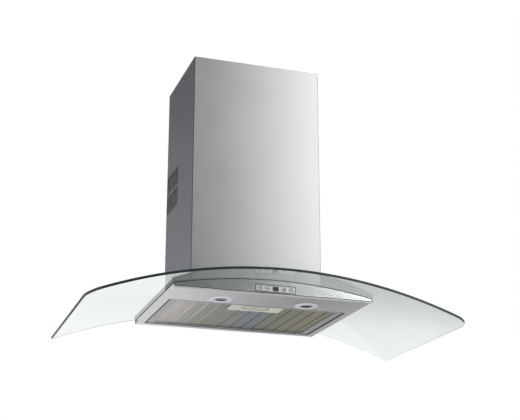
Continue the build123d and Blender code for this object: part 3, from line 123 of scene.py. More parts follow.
def vector_maths(tree, operation, *values):
    """The outputs of a Vector Math node."""
    return add_node(tree, "ShaderNodeVectorMath", dict(enumerate(values)), operation=operation).outputs


def joined(tree, x=0.0, y=0.0, z=0.0):
    """A vector from its three numbers."""
    return add_node(tree, "ShaderNodeCombineXYZ", {"X": x, "Y": y, "Z": z}).outputs["Vector"]


def split(tree, vector):
    """The three numbers of a vector."""
    return add_node(tree, "ShaderNodeSeparateXYZ", {"Vector": vector}).outputs


def ranged(tree, value, low, high, source_low=0.3, source_high=0.7):
    """A value stretched to another range."""
    inputs = {"Value": value, "From Min": source_low, "From Max": source_high, "To Min": low, "To Max": high}
    return add_node(tree, "ShaderNodeMapRange", inputs).outputs["Result"]


def noise(tree, vector, scale, detail, roughness=0.5):
    """A noise between 0 and 1."""
    inputs = {"Vector": vector, "Scale": scale, "Detail": detail, "Roughness": roughness}
    return add_node(tree, "ShaderNodeTexNoise", inputs).outputs["Fac"]


print("helpers for node trees: 9")

# %% [markdown]
# ## Brushed grain
#
# Stainless sheet is drawn past a belt of grit, which leaves scratches that are long one way and very
# fine the other. Noise stretched along one axis gives just that. The group squeezes the coordinates
# across the grain, mixes a coarse and a fine noise, and hands out a height for the bump and a streak
# value for roughness and tone.

# %% Shader group: brushed grain
grain_group, grain_in, grain_out = new_group(
    "Brushed grain", "ShaderNodeTree", {"Vector": None, "Along": 12.0, "Across": 900.0}, ["Height", "Streak"]
)
grain_scale = joined(grain_group, grain_in["Along"], grain_in["Across"], grain_in["Across"])
grain_vector = vector_maths(grain_group, "MULTIPLY", grain_in["Vector"], grain_scale)["Vector"]
fine_grain = noise(grain_group, grain_vector, 1.0, 3.0, 0.65)
coarse_grain = noise(grain_group, grain_vector, 0.12, 2.0)
streak = add_node(grain_group, "ShaderNodeMix", {"Factor": 0.35, "A": fine_grain, "B": coarse_grain})
link(grain_group, fine_grain, grain_out["Height"])
link(grain_group, streak.outputs["Result"], grain_out["Streak"])
print("group:", grain_group.name)

# %% [markdown]
# ## Wear on edges
#
# Edges of a used object are rubbed brighter or duller than its faces, and on the chimney and the tray
# the same mask carries darker painted shade lines. A Bevel node bends the normal near an edge, so
# comparing it with the true normal finds the edges of any mesh, with no painting. A noise breaks the
# line up, because real wear is never even.

# %% Shader group: edge wear
edge_wear_and_shade_group, wear_in, wear_out = new_group(
    "Edge wear", "ShaderNodeTree", {"Vector": None, "Radius": 0.001, "Breakup": 140.0}, ["Wear"]
)
rounded = add_node(edge_wear_and_shade_group, "ShaderNodeBevel", {"Radius": wear_in["Radius"]}, samples=4).outputs["Normal"]
true_normal = add_node(edge_wear_and_shade_group, "ShaderNodeNewGeometry").outputs["Normal"]
alike = vector_maths(edge_wear_and_shade_group, "DOT_PRODUCT", rounded, true_normal)["Value"]
edge_mask = ranged(edge_wear_and_shade_group, alike, 0, 1, 0.99, 0.80)
wear_noise = noise(edge_wear_and_shade_group, wear_in["Vector"], wear_in["Breakup"], 3.0)
wear_cut = ranged(edge_wear_and_shade_group, wear_noise, 0, 1, 0.35, 0.62)
link(edge_wear_and_shade_group, calculator(edge_wear_and_shade_group)("MULTIPLY", edge_mask, wear_cut), wear_out["Wear"])
print("group:", edge_wear_and_shade_group.name)

# %% [markdown]
# ## Cloudiness and moulded grain
#
# No sheet or moulding is one even tone: hands, cloths and the mould leave broad soft clouds, and most
# plastics carry a fine spark-eroded grain. One group gives both, a slow noise for tone and roughness
# and a fast one for the height of the grain.

# %% Shader group: clouds and grain
cloud_group, cloud_in, cloud_out = new_group(
    "Clouds and grain",
    "ShaderNodeTree",
    {"Vector": None, "Cloud Scale": 9.0, "Grain Scale": 1800.0},
    ["Cloud", "Height"],
)
clouds = noise(cloud_group, cloud_in["Vector"], cloud_in["Cloud Scale"], 4.0, 0.55)
moulded_grain = noise(cloud_group, cloud_in["Vector"], cloud_in["Grain Scale"], 1.0)
link(cloud_group, clouds, cloud_out["Cloud"])
link(cloud_group, moulded_grain, cloud_out["Height"])
print("group:", cloud_group.name)

# %% [markdown]
# ## Metal
#
# Every bare metal here is the same recipe with other numbers: a metallic Principled shader, brushed
# grain in its bump, roughness and tone, soft clouds in its roughness, and edges paler or darker than
# its faces. Paler edges are rubbed wear, and the darker edges of the chimney and the tray are painted
# shade lines. The grain group runs its scratches along X, so a Mapping node can turn them. The
# chimney's steel also gets painted shade, a near-black colour, in its upright folds and inside its
# slots. One mask finds the folds by the way they face, and the other finds gaps by how much stands
# close by. Values that don't change over a surface, such as Metallic, are set on the shader itself.


# %% Metal finishes
def rgba(tone):
    """A colour for a socket, with its alpha. A linked colour stays as it is."""
    return tone if isinstance(tone, bpy.types.NodeSocket) else (*tone, 1)


def mixed_colour(tree, mask, dark, light, blend_type="MIX"):
    """A colour between two, by a mask."""
    inputs = {"Factor": mask, 6: rgba(dark), 7: rgba(light)}
    return add_node(tree, "ShaderNodeMix", inputs, data_type="RGBA", blend_type=blend_type).outputs[2]


def effect(tree, group, inputs):
    """The outputs of a shader group placed in a material."""
    return add_node(tree, "ShaderNodeGroup", inputs, node_tree=group).outputs


made = {}  # this script's own materials, because model.glb brings materials of some of the same names


def new_material(name):
    """A material's tree, the inputs of its Principled shader and the piece's own coordinates."""
    made[name] = material = bpy.data.materials.new(name)
    material.use_nodes = True
    tree = material.node_tree
    place = add_node(tree, "ShaderNodeTexCoord").outputs["Object"]
    return tree, tree.nodes["Principled BSDF"].inputs, place


def set_relief(tree, shader, height, strength, distance=0.0002):
    """Gives a shader the bumps of a height."""
    inputs = {"Strength": strength, "Distance": distance, "Height": height}
    link(tree, add_node(tree, "ShaderNodeBump", inputs).outputs["Normal"], shader["Normal"])


def own_normal(tree, output):
    """The direction a surface faces, in the piece's own space, so that a turned hood keeps its marks."""
    return add_node(
        tree,
        "ShaderNodeVectorTransform",
        {"Vector": add_node(tree, "ShaderNodeNewGeometry").outputs[output]},
        vector_type="NORMAL",
        convert_from="WORLD",
        convert_to="OBJECT",
    ).outputs["Vector"]


def painted_fold_shade(tree):
    """A mask of painted shade on the upright folds between a front and a side, which face between X and Y."""
    faces = split(tree, own_normal(tree, "Normal"))
    maths = calculator(tree)
    return ranged(tree, maths("ABSOLUTE", maths("MULTIPLY", faces["X"], faces["Y"])), 0, 1, 0.04, 0.16)


def painted_gap_shade(tree, reach):
    """A mask of painted shade where other surfaces close in, such as the walls of a slot."""
    openness = add_node(tree, "ShaderNodeAmbientOcclusion", {"Distance": reach}, samples=8).outputs["AO"]
    return ranged(tree, openness, 1, 0, 0.78, 0.97)


def metal(
    name,
    colour,
    roughness,
    turn=(0, 0, 0),
    along=12,
    across=900,
    bump=0.15,
    spread=0.05,
    streaks=0.15,
    edge=1.18,
    edge_radius=0.001,
    shade=None,
):
    """A brushed or satin metal. Its scratches run along X, turned by the given angles.
    Spread and streaks are the swing of its tone and of its roughness, edge is the tone of its edges
    against its own, above 1 for rubbed wear and below 1 for painted shade lines, and shade is the
    colour of the painted shade in its upright folds and narrow gaps."""
    tree, shader, place = new_material(name)
    turned = add_node(tree, "ShaderNodeMapping", {"Vector": place, "Rotation": turn}).outputs["Vector"]
    grain = effect(tree, grain_group, {"Vector": turned, "Along": along, "Across": across})
    cloud = effect(tree, cloud_group, {"Vector": place})
    wear = effect(tree, edge_wear_and_shade_group, {"Vector": place, "Radius": edge_radius})
    dark, light, edge_colour = [[min(1, c * share) for c in colour] for share in (1 - spread, 1 + spread, edge)]
    surface = mixed_colour(tree, grain["Streak"], dark, light)
    # On the chimney and the tray this mixes in darker edges, which are painted shade lines.
    surface = mixed_colour(tree, wear["Wear"], surface, edge_colour)
    # The chimney's folds and slots get painted shade, a near-black colour mixed in by two masks.
    if shade:
        shaded = calculator(tree)("MAXIMUM", painted_fold_shade(tree), painted_gap_shade(tree, reach=0.012))
        surface = mixed_colour(tree, shaded, surface, shade)
    link(tree, surface, shader["Base Color"])
    brushed = ranged(tree, grain["Streak"], roughness * (1 - streaks), roughness * (1 + streaks))
    clouded = ranged(tree, cloud["Cloud"], -0.015, 0.015)
    link(tree, calculator(tree)("ADD", brushed, clouded), shader["Roughness"])
    set_relief(tree, shader, grain["Height"], bump)
    shader["Metallic"].default_value = 1.0


quarter = math.pi / 2
fine_brushed = {"along": 14, "across": 1100, "bump": 0.02}
even_brushed = {**fine_brushed, "spread": 0.012, "streaks": 0.04}
# The chimney's darker edges and its near-black folds and slots are painted shade.
metal(
    "steel_chimney",
    (0.74, 0.745, 0.745),
    0.22,
    edge=0.12,
    edge_radius=0.0026,
    shade=(0.03, 0.03, 0.032),
    **even_brushed,
)
# The tray's darker edges are painted shade lines along its seams.
metal("steel_tray", (0.72, 0.715, 0.735), 0.20, edge=0.35, **even_brushed)
metal("galvanised", (0.55, 0.57, 0.60), 0.42, along=60, across=90, bump=0.05, spread=0.22)
metal("bright_aluminium", (0.86, 0.86, 0.87), 0.14, along=80, across=300, bump=0.06)
metal("panel_plate", (0.74, 0.74, 0.75), 0.30, along=14, across=1500, bump=0.08)
metal("lens_ring_metal", (0.07, 0.075, 0.08), 0.30, along=80, across=300, bump=0.03)
metal("rolled_steel", (0.60, 0.60, 0.61), 0.42, spread=0.02, **fine_brushed)
metal("screw_steel", (0.58, 0.58, 0.60), 0.30, along=120, across=500, bump=0.10)
metal("spring_steel", (0.50, 0.50, 0.52), 0.24, along=200, across=900, bump=0.08)
print("metals:", len(made))

# %% [markdown]
# ## Pressed foil
#
# The filter's foil is pressed with a crease every 30 mm. Its colour runs in zones across the filter:
# a pinkish white painted highlight at the left end, a bluish painted reflection near the middle and
# khaki tones between and towards the right. The creases carry painted white highlights at the left
# and painted dark shade from the middle on. The group turns the place across the filter into a zone
# value and a crease mask, with a soft diamond pattern for the layers whose strands aren't modelled.

# %% Shader group: foil creases
foil_sizes = {"Pitch": 0.030, "Line Width": 0.0032, "Half Width": 0.205, "Diamond": 0.005}
foil_group, foil_in, foil_out = new_group(
    "Foil creases", "ShaderNodeTree", {"Vector": None, **foil_sizes}, ["Zone", "Crease", "Diamonds"]
)
maths = calculator(foil_group)
foil_at = split(foil_group, foil_in["Vector"])
foil_zone = maths("DIVIDE", maths("ADD", foil_at["X"], foil_in["Half Width"]), foil_in["Half Width"])
link(foil_group, maths("MULTIPLY", foil_zone, 0.5), foil_out["Zone"])
crease_side = maths("PINGPONG", foil_at["X"], maths("MULTIPLY", foil_in["Pitch"], 0.5))
line_core = maths("MULTIPLY", foil_in["Line Width"], 0.3)
crease_range = {"Value": crease_side, "From Min": line_core, "From Max": foil_in["Line Width"]}
crease_mask = add_node(
    foil_group,
    "ShaderNodeMapRange",
    {**crease_range, "To Min": 1.0, "To Max": 0.0},
    interpolation_type="SMOOTHSTEP",
)
link(foil_group, crease_mask.outputs["Result"], foil_out["Crease"])
diagonals = []
for operation in ("ADD", "SUBTRACT"):
    slant = maths(operation, foil_at["X"], foil_at["Y"])
    diagonals.append(maths("PINGPONG", slant, foil_in["Diamond"]))
nearest = maths("DIVIDE", maths("MINIMUM", *diagonals), foil_in["Diamond"])
link(foil_group, nearest, foil_out["Diamonds"])
print("group:", foil_group.name)


# %% Foil finishes
def stops(*rows):
    """Stops of a ramp, each a place and a colour. One number stands for a grey."""
    return [(at, tone * 3 if len(tone) == 1 else tone) for at, *tone in rows]


def ramp_colours(tree, value, rows):
    """A colour ramp through stops of place and colour."""
    ramp = add_node(tree, "ShaderNodeValToRGB", {"Fac": value})
    elements = ramp.color_ramp.elements
    while len(elements) < len(rows):
        elements.new(0.5)
    for element, (at, _) in zip(elements, rows):
        element.position = at
    for element, (_, tone) in zip(elements, rows):
        element.color = (*tone, 1)
    return ramp.outputs["Color"]


def foil(name, tint_and_sheen_stops, crease_highlight_and_shade_stops, roughness, diamonds):
    """Thin pressed aluminium with zones of tint and painted sheen, creases of painted light and shade and,
    for flat sheets, a diamond pattern.
    """
    tree, shader, place = new_material(name)
    marks = effect(tree, foil_group, {"Vector": place})
    cloud = effect(tree, cloud_group, {"Vector": place})
    wear = effect(tree, edge_wear_and_shade_group, {"Vector": place, "Radius": 0.0003})
    tints_and_sheen, crease_light_and_shade = [ramp_colours(tree, marks["Zone"], rows) for rows in (tint_and_sheen_stops, crease_highlight_and_shade_stops)]
    surface = mixed_colour(tree, marks["Crease"], tints_and_sheen, crease_light_and_shade)
    weave = ranged(tree, marks["Diamonds"], 1.0, 0.25, 0.1, 0.5)
    surface = mixed_colour(tree, diamonds, surface, weave, "MULTIPLY")
    surface = mixed_colour(tree, wear["Wear"], surface, (0.12, 0.12, 0.12), "SCREEN")
    link(tree, surface, shader["Base Color"])
    link(tree, ranged(tree, cloud["Cloud"], roughness * 0.9, roughness * 1.1), shader["Roughness"])
    set_relief(tree, shader, cloud["Height"], 0.1)
    shader["Metallic"].default_value = 1.0


# Zones: khaki tints, with a painted highlight at the left end and a painted bluish reflection near the
# middle.
tint_and_sheen_stops = stops(
    (0.00, 1.00, 0.93, 0.91),
    (0.12, 1.00, 0.95, 0.92),
    (0.18, 0.84, 0.82, 0.79),
    (0.30, 0.66, 0.645, 0.56),
    (0.45, 0.70, 0.725, 0.69),
    (0.56, 0.57, 0.66, 0.86),
    (0.65, 0.64, 0.665, 0.58),
    (0.72, 0.66, 0.65, 0.50),
    (1.00, 0.88, 0.85, 0.64),
)
# Crease colours: painted white highlights at the left, painted dark shade from the middle on.
crease_highlight_and_shade_stops = stops(
    (0.00, 1.0),
    (0.20, 1.0, 0.99, 0.98),
    (0.32, 0.74, 0.73, 0.66),
    (0.42, 0.30, 0.31, 0.29),
    (0.60, 0.17, 0.18, 0.17),
    (1.00, 0.15, 0.15, 0.12),
)
# The deep layers are painted bright at the left end, a painted highlight.
deep_tint_and_sheen_stops = stops(
    (0.0, 1.0, 0.95, 0.92), (0.20, 0.55, 0.53, 0.49), (0.40, 0.42, 0.41, 0.36), (1.0, 0.36, 0.355, 0.29)
)
foil("filter_foil", tint_and_sheen_stops, crease_highlight_and_shade_stops, 0.30, 0.0)
foil("deep_foil", deep_tint_and_sheen_stops, crease_highlight_and_shade_stops, 0.36, 0.6)
# The frame's aluminium is set dark, which paints the shade its rails lie in.
metal("frame_aluminium", (0.43, 0.43, 0.44), 0.36, (0, 0, quarter), bump=0.12)
print("foils: filter_foil, deep_foil")

# %% [markdown]
# ## Plastic, rubber and enamel
#
# Mouldings share one recipe too: a colour with faint clouds, a fine grain in the bump and slightly
# paler edges. Rubber is the same with more roughness, and enamel the same with less grain and a clear
# coat, which is a plain value on the shader.


# %% Plastic finishes
def moulded(name, colour, roughness, grain=1800, bump=0.12, spread=0.06, coat=0.0):
    """A moulded, painted or rubber surface."""
    tree, shader, place = new_material(name)
    cloud = effect(tree, cloud_group, {"Vector": place, "Grain Scale": grain, "Cloud Scale": 30})
    wear = effect(tree, edge_wear_and_shade_group, {"Vector": place, "Radius": 0.0005})
    dark, light = [[min(1, c * share) for c in colour] for share in (1 - spread, 1 + spread)]
    edge_colour = [min(1, c * 1.12 + 0.02) for c in colour]
    surface = mixed_colour(tree, ranged(tree, cloud["Cloud"], 0, 1), dark, light)
    link(tree, mixed_colour(tree, wear["Wear"], surface, edge_colour), shader["Base Color"])
    link(tree, ranged(tree, cloud["Cloud"], roughness * 0.9, roughness * 1.1), shader["Roughness"])
    set_relief(tree, shader, cloud["Height"], bump, 0.0001)
    shader["Coat Weight"].default_value = coat


moulded("black_plastic", (0.03, 0.03, 0.033), 0.5)
moulded("impeller_plastic", (0.07, 0.07, 0.075), 0.45)
moulded("flap_plastic", (0.18, 0.18, 0.19), 0.5)
moulded("white_plastic", (0.72, 0.72, 0.69), 0.42)
moulded("latch_plastic", (0.62, 0.65, 0.54), 0.34, bump=0.06)
moulded("latch_rim_plastic", (0.24, 0.27, 0.19), 0.4, bump=0.06)
moulded("button_plastic", (0.70, 0.71, 0.71), 0.30, bump=0.05)
moulded("display_plastic", (0.012, 0.014, 0.016), 0.10, bump=0.0, coat=0.6)
moulded("mark_ink", (0.02, 0.02, 0.022), 0.45)
moulded("segment_plastic", (0.11, 0.115, 0.11), 0.35)
moulded("lamp_bezel", (0.66, 0.70, 0.75), 0.26, bump=0.03, coat=0.3)
moulded("ceramic", (0.78, 0.76, 0.70), 0.6, grain=900)
moulded("rubber", (0.02, 0.02, 0.021), 0.75, grain=900, bump=0.2)
moulded("lead_rubber", (0.035, 0.035, 0.036), 0.55, grain=1200)
moulded("motor_paint", (0.05, 0.05, 0.053), 0.32, grain=500, bump=0.05, coat=0.3)
moulded("transformer_core", (0.12, 0.115, 0.11), 0.5, grain=700, bump=0.2)
moulded("circuit_board", (0.03, 0.16, 0.07), 0.35, grain=300, bump=0.1)
print("with plastics and paints:", len(made))

# %% [markdown]
# ## Glass
#
# The canopy is 6 mm float glass. Seen through its faces it is almost clear, but along a polished edge
# the eye looks through the whole sheet, and the iron in the glass turns it dark green. A path tracer
# would need a coloured volume for that. Here the finish asks instead which way the surface faces:
# everything that doesn't point along the arch's radius is an edge and gets the deep green, with a
# faint painted glow in its emission.

# %% Glass finishes
arch_radius, arch_top_radius = 1.180, 1.186
arch_centre_z = -1.14628


def glass(name, face, edge, glow):
    """Clear glass, with another colour and a faint painted glow where it doesn't face along the arch's
    radius.
    """
    tree, shader, place = new_material(name)
    from_centre = vector_maths(tree, "ADD", place, (0, 0, -arch_centre_z))["Vector"]
    in_section = vector_maths(tree, "MULTIPLY", from_centre, (1, 0, 1))["Vector"]
    radial = vector_maths(tree, "NORMALIZE", in_section)["Vector"]
    facing = vector_maths(tree, "DOT_PRODUCT", radial, own_normal(tree, "True Normal"))["Value"]
    mask = ranged(tree, calculator(tree)("ABSOLUTE", facing), 0, 1, 0.90, 0.98)
    link(tree, mixed_colour(tree, mask, edge, face), shader["Base Color"])
    # The edges also get a faint painted glow, light that no lamp gives.
    link(tree, mixed_colour(tree, mask, glow, (0, 0, 0)), shader["Emission Color"])
    plain = {"Emission Strength": 1.0, "Roughness": 0.0, "IOR": 1.5, "Transmission Weight": 1.0}
    for socket, value in plain.items():
        shader[socket].default_value = value


glass("canopy_glass", (0.905, 0.965, 0.935), (0.40, 0.50, 0.45), (0.018, 0.030, 0.024))
print("with the glass:", len(made))

# %% [markdown]
# ## The glass canopy
#
# The real canopy starts as a flat sheet of float glass. Its outline is cut, its edges are ground round
# and polished, the screw holes are drilled, and then it is heated over a mould until it sags into the
# arch. The piece is made in that order: a flat outline in bmesh, sliced every 12 mm so that it can
# bend, a Geometry Nodes tree that wraps it on the arch, then Solidify and Bevel for the 6 mm thickness
# and the ground edge. Bending the CAD solid instead would keep its sharp edges, which is the one thing
# that tells cut steel from polished glass.


# %% Names for the jobs every piece needs
def new_object(name, data):
    """An object in the scene."""
    item = bpy.data.objects.new(name, data)
    scene.collection.objects.link(item)
    return item


def dress(mesh, finish):
    """Gives a mesh one finish, by its name."""
    mesh.materials.clear()
    mesh.materials.append(made[finish])


def new_piece(name, mesh, body, finish):
    """Puts a mesh in the scene as a piece that rides on a body."""
    piece = new_object(name, mesh)
    dress(mesh, finish)
    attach(piece, body)
    return piece


def modify(piece, kind, **settings):
    """Adds a modifier with its settings."""
    modifier = piece.modifiers.new(kind.lower(), kind)
    for name, value in settings.items():
        setattr(modifier, name, value)


def baked(source):
    """The evaluated object as a plain mesh. The source is removed."""
    bpy.context.view_layer.update()
    shape = source.evaluated_get(bpy.context.evaluated_depsgraph_get())
    mesh = bpy.data.meshes.new_from_object(shape)
    bpy.data.objects.remove(source)
    return mesh


def turn_out(work, facing=0):
    """Turns the faces outward. An open sheet can be told to face up with 1 or down with -1."""
    bmesh.ops.recalc_face_normals(work, faces=work.faces[:])
    if facing * sum(face.normal.z for face in work.faces) < 0:
        bmesh.ops.reverse_faces(work, faces=work.faces[:])


def drawn(work, name):
    """A bmesh as a plain mesh."""
    mesh = bpy.data.meshes.new(name)
    work.to_mesh(mesh)
    work.free()
    return mesh


def smooth(mesh, degrees=30):
    """Smooth shading, with sharp edges where two faces turn by more than the angle."""
    mesh.shade_smooth()
    mesh.set_sharp_from_angle(angle=math.radians(degrees))


def pairs(items):
    """Each item with the one after it, round and round."""
    return list(zip(items, items[1:] + items[:1]))


print("helpers for pieces: 9")


# %% The outline of the flat sheet
def corner(centre, radius, start, end, steps=10):
    """Points of a rounded corner between two angles in degrees."""
    turns = [math.radians(start + (end - start) * step / steps) for step in range(steps + 1)]
    return [(centre[0] + radius * math.cos(turn), centre[1] + radius * math.sin(turn)) for turn in turns]


def along_arch(x, radius=arch_radius):
    """How far along the flat sheet a place on the arch lies."""
    return arch_radius * math.asin(x / radius)


sheet_half = along_arch(0.450, arch_top_radius)
sheet_back, sheet_front = -0.002, -0.480
notch_half, notch_end, notch_round = along_arch(0.13946), -0.23546, 0.005
round_radius = 0.034
outline = corner((-sheet_half + round_radius, sheet_front + round_radius), round_radius, 180, 270)
outline += corner((sheet_half - round_radius, sheet_front + round_radius), round_radius, 270, 360)
outline += [(sheet_half, sheet_back), (notch_half, sheet_back)]
outline += corner((notch_half - notch_round, notch_end + notch_round), notch_round, 0, -90, 5)
outline += corner((-notch_half + notch_round, notch_end + notch_round), notch_round, -90, -180, 5)
outline += [(-notch_half, sheet_back), (-sheet_half, sheet_back)]
hole_x, hole_rows, hole_radius = along_arch(0.1492, arch_top_radius), (-0.210, -0.040), 0.00325
hole_places = [(side * hole_x, y) for side in (-1, 1) for y in hole_rows]
print("outline points:", len(outline), "screw holes:", len(hole_places))

# %% Fill the outline and slice it
sheet_mesh = bmesh.new()
for loop in [outline] + [corner(place, hole_radius, 0, 360, 24)[:-1] for place in hole_places]:
    for ends in pairs([sheet_mesh.verts.new((s, y, 0)) for s, y in loop]):
        sheet_mesh.edges.new(ends)
bmesh.ops.triangle_fill(sheet_mesh, edges=sheet_mesh.edges[:], use_beauty=True, use_dissolve=False)
slice_gap = 0.012
slices = int(sheet_half / slice_gap)
for index in range(-slices, slices + 1):
    everything = sheet_mesh.verts[:] + sheet_mesh.edges[:] + sheet_mesh.faces[:]
    bmesh.ops.bisect_plane(
        sheet_mesh, geom=everything, plane_co=(index * slice_gap, 0, 0), plane_no=(1, 0, 0), dist=1e-6
    )
turn_out(sheet_mesh, facing=1)
flat_sheet = drawn(sheet_mesh, "flat_sheet")
print("flat sheet faces:", len(flat_sheet.polygons))

# %% [markdown]
# The bend is one rule for every point: how far it lies along the flat sheet becomes an angle on the
# arch. Geometry Nodes does it with a Set Position node, and the arch's radius and centre are named
# inputs, so another hood needs only other numbers.


# %% Geometry Nodes: bend on the arch
def end_tree(tree, geometry, tree_out, finish):
    """Ends a tree with real geometry that wears a finish."""
    real = add_node(tree, "GeometryNodeRealizeInstances", {"Geometry": geometry}).outputs["Geometry"]
    dressed = add_node(tree, "GeometryNodeSetMaterial", {"Geometry": real, "Material": made[finish]})
    link(tree, dressed.outputs["Geometry"], tree_out["Geometry"])


def placed(tree, geometry, **targets):
    """Geometry with its points at a Position or moved by an Offset."""
    inputs = {"Geometry": geometry, **targets}
    return add_node(tree, "GeometryNodeSetPosition", inputs).outputs["Geometry"]


def own_place(tree):
    """The three numbers of each point's place."""
    return split(tree, add_node(tree, "GeometryNodeInputPosition").outputs["Position"])


bend_tree, bend_in, bend_out = new_group(
    "Bend on arch", "GeometryNodeTree", {"Radius": 1.0, "Centre Height": 0.0}
)
maths, bend_at = calculator(bend_tree), own_place(bend_tree)
bend_angle = maths("DIVIDE", bend_at["X"], bend_in["Radius"])
bend_reach = maths("ADD", bend_in["Radius"], bend_at["Z"])
bend_x = maths("MULTIPLY", bend_reach, maths("SINE", bend_angle))
bend_rise = maths("MULTIPLY", bend_reach, maths("COSINE", bend_angle))
bend_z = maths("ADD", bend_rise, bend_in["Centre Height"])
bent = placed(bend_tree, bend_in["Geometry"], Position=joined(bend_tree, bend_x, bend_at["Y"], bend_z))
end_tree(bend_tree, bent, bend_out, "canopy_glass")


def add_tree(piece, tree, values):
    """Puts a Geometry Nodes tree on an object and sets its inputs by their identifiers."""
    modifier = piece.modifiers.new(tree.name, "NODES")
    modifier.node_group = tree
    sockets = {item.name: item.identifier for item in tree.interface.items_tree if item.item_type == "SOCKET"}
    for name, value in values.items():
        modifier[sockets[name]] = value


print("tree:", bend_tree.name)

# %% Bend, thicken and polish the sheet
canopy_source = new_object("canopy_source", flat_sheet)
add_tree(canopy_source, bend_tree, {"Radius": arch_radius, "Centre Height": arch_centre_z})
glass_thickness, polish_width, polish_angle = 0.006, 0.0011, math.radians(50)
modify(canopy_source, "SOLIDIFY", thickness=glass_thickness, offset=1, use_even_offset=True)
polish = {"width": polish_width, "segments": 3, "limit_method": "ANGLE", "angle_limit": polish_angle}
modify(canopy_source, "BEVEL", **polish)
canopy_mesh = baked(canopy_source)
canopy_mesh.shade_smooth()
along_radius = 0.999  # the cosine from which a face counts as one of the two large ones
ground = bmesh.new()
ground.from_mesh(canopy_mesh)
for edge in ground.edges:
    polished = 0
    for face in edge.link_faces:
        middle = face.calc_center_median()
        radial = Vector((middle.x, 0, middle.z - arch_centre_z)).normalized()
        polished += abs(radial.dot(face.normal)) > along_radius
    edge.smooth = polished != 1
ground.to_mesh(canopy_mesh)
ground.free()
canopy = new_piece("canopy_sheet", canopy_mesh, "hood", "canopy_glass")
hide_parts("glass_canopy")
print("canopy faces:", len(canopy_mesh.polygons))

# %% [markdown]
# ## The filter's expanded metal
#
# A grease filter is a stack of expanded aluminium: foil that is slit in staggered rows and pulled open
# into diamonds, then pressed with a crease every 30 mm to stiffen it. The lower layer is the one that
# is seen. Every strand of such a mesh is a zigzag that touches its neighbours at its points, so one
# zigzag line, repeated in rows and swept with a thin flat section, is the whole sheet. The deeper
# layers stay plain CAD sheets with a mesh pattern in their finish, because nobody sees their strands.

# %% Geometry Nodes: expanded metal
mesh_sizes = {
    "Step": 0.0025,
    "Reach": 0.0051,
    "Points": 163,
    "Rows": 48,
    "Half Width": 0.2044,
    "Front": -0.2724,
    "Notch Half Width": 0.0662,
    "Notch Back": -0.2193,
    "Crease Pitch": 0.030,
    "Crease Width": 0.005,
    "Crease Height": 0.0011,
    "Height": 0.0026,
    "Strand Width": 0.0011,
    "Strand Thickness": 0.00045,
}
mesh_tree, mesh_in, mesh_out = new_group("Expanded metal", "GeometryNodeTree", mesh_sizes)
maths = calculator(mesh_tree)


def point_line(count):
    """A line of points, and the index of each."""
    line = add_node(mesh_tree, "GeometryNodeMeshLine", {"Count": count, "Offset": (0, 0, 0)})
    return line.outputs["Mesh"], add_node(mesh_tree, "GeometryNodeInputIndex").outputs["Index"]


strand_line, strand_index = point_line(mesh_in["Points"])
middle_index = maths("MULTIPLY", maths("SUBTRACT", mesh_in["Points"], 1.0), 0.5)
strand_x = maths("MULTIPLY", maths("SUBTRACT", strand_index, middle_index), mesh_in["Step"])
zigzag_side = maths("SUBTRACT", maths("MODULO", strand_index, 2.0), 0.5)
strand_y = maths("MULTIPLY", zigzag_side, mesh_in["Reach"])
zigzag = placed(mesh_tree, strand_line, Position=joined(mesh_tree, strand_x, strand_y))
row_line, row_index = point_line(mesh_in["Rows"])
row_middle = maths("MULTIPLY", maths("ADD", row_index, 0.5), mesh_in["Reach"])
row_y = maths("ADD", row_middle, mesh_in["Front"])
row_points = placed(mesh_tree, row_line, Position=joined(mesh_tree, y=row_y))
odd_row = maths("MULTIPLY", maths("MODULO", row_index, 2.0), 2.0)
row_scale = joined(mesh_tree, 1.0, maths("SUBTRACT", 1.0, odd_row), 1.0)
rows = add_node(
    mesh_tree,
    "GeometryNodeInstanceOnPoints",
    {"Points": row_points, "Instance": zigzag, "Scale": row_scale},
).outputs["Instances"]
strands = add_node(mesh_tree, "GeometryNodeRealizeInstances", {"Geometry": rows}).outputs["Geometry"]
print("zigzag strands in", mesh_tree.name)

# %% Cut the sheet, crease it and give it strands
strand_at = own_place(mesh_tree)
off_middle = maths("ABSOLUTE", strand_at["X"])
past_side = maths("GREATER_THAN", off_middle, mesh_in["Half Width"])
in_notch = maths(
    "MULTIPLY",
    maths("LESS_THAN", off_middle, mesh_in["Notch Half Width"]),
    maths("LESS_THAN", strand_at["Y"], mesh_in["Notch Back"]),
)
unwanted = {"Geometry": strands, "Selection": maths("MAXIMUM", past_side, in_notch)}
kept = add_node(mesh_tree, "GeometryNodeDeleteGeometry", unwanted, domain="POINT").outputs["Geometry"]
half_pitch = maths("MULTIPLY", mesh_in["Crease Pitch"], 0.5)
shifted = maths("ADD", strand_at["X"], half_pitch)
wrapped = maths("FLOORED_MODULO", shifted, mesh_in["Crease Pitch"])
from_crease = maths("ABSOLUTE", maths("SUBTRACT", wrapped, half_pitch))
crease_half = maths("MULTIPLY", mesh_in["Crease Width"], 0.5)
crease = ranged(mesh_tree, from_crease, mesh_in["Crease Height"], 0.0, 0.0, crease_half)
lift = maths("ADD", crease, mesh_in["Height"])
creased = placed(mesh_tree, kept, Offset=joined(mesh_tree, z=lift))
strand_curve = add_node(mesh_tree, "GeometryNodeMeshToCurve", {"Mesh": creased}).outputs["Curve"]
level = add_node(mesh_tree, "GeometryNodeSetCurveTilt", {"Curve": strand_curve, "Tilt": 0.0}).outputs["Curve"]
section = add_node(
    mesh_tree,
    "GeometryNodeCurvePrimitiveQuadrilateral",
    {"Width": mesh_in["Strand Width"], "Height": mesh_in["Strand Thickness"]},
).outputs["Curve"]
swept = add_node(
    mesh_tree, "GeometryNodeCurveToMesh", {"Curve": level, "Profile Curve": section, "Fill Caps": True}
)
end_tree(mesh_tree, swept.outputs["Mesh"], mesh_out, "filter_foil")
mesh_source = new_object("mesh_source", bpy.data.meshes.new("mesh_source"))
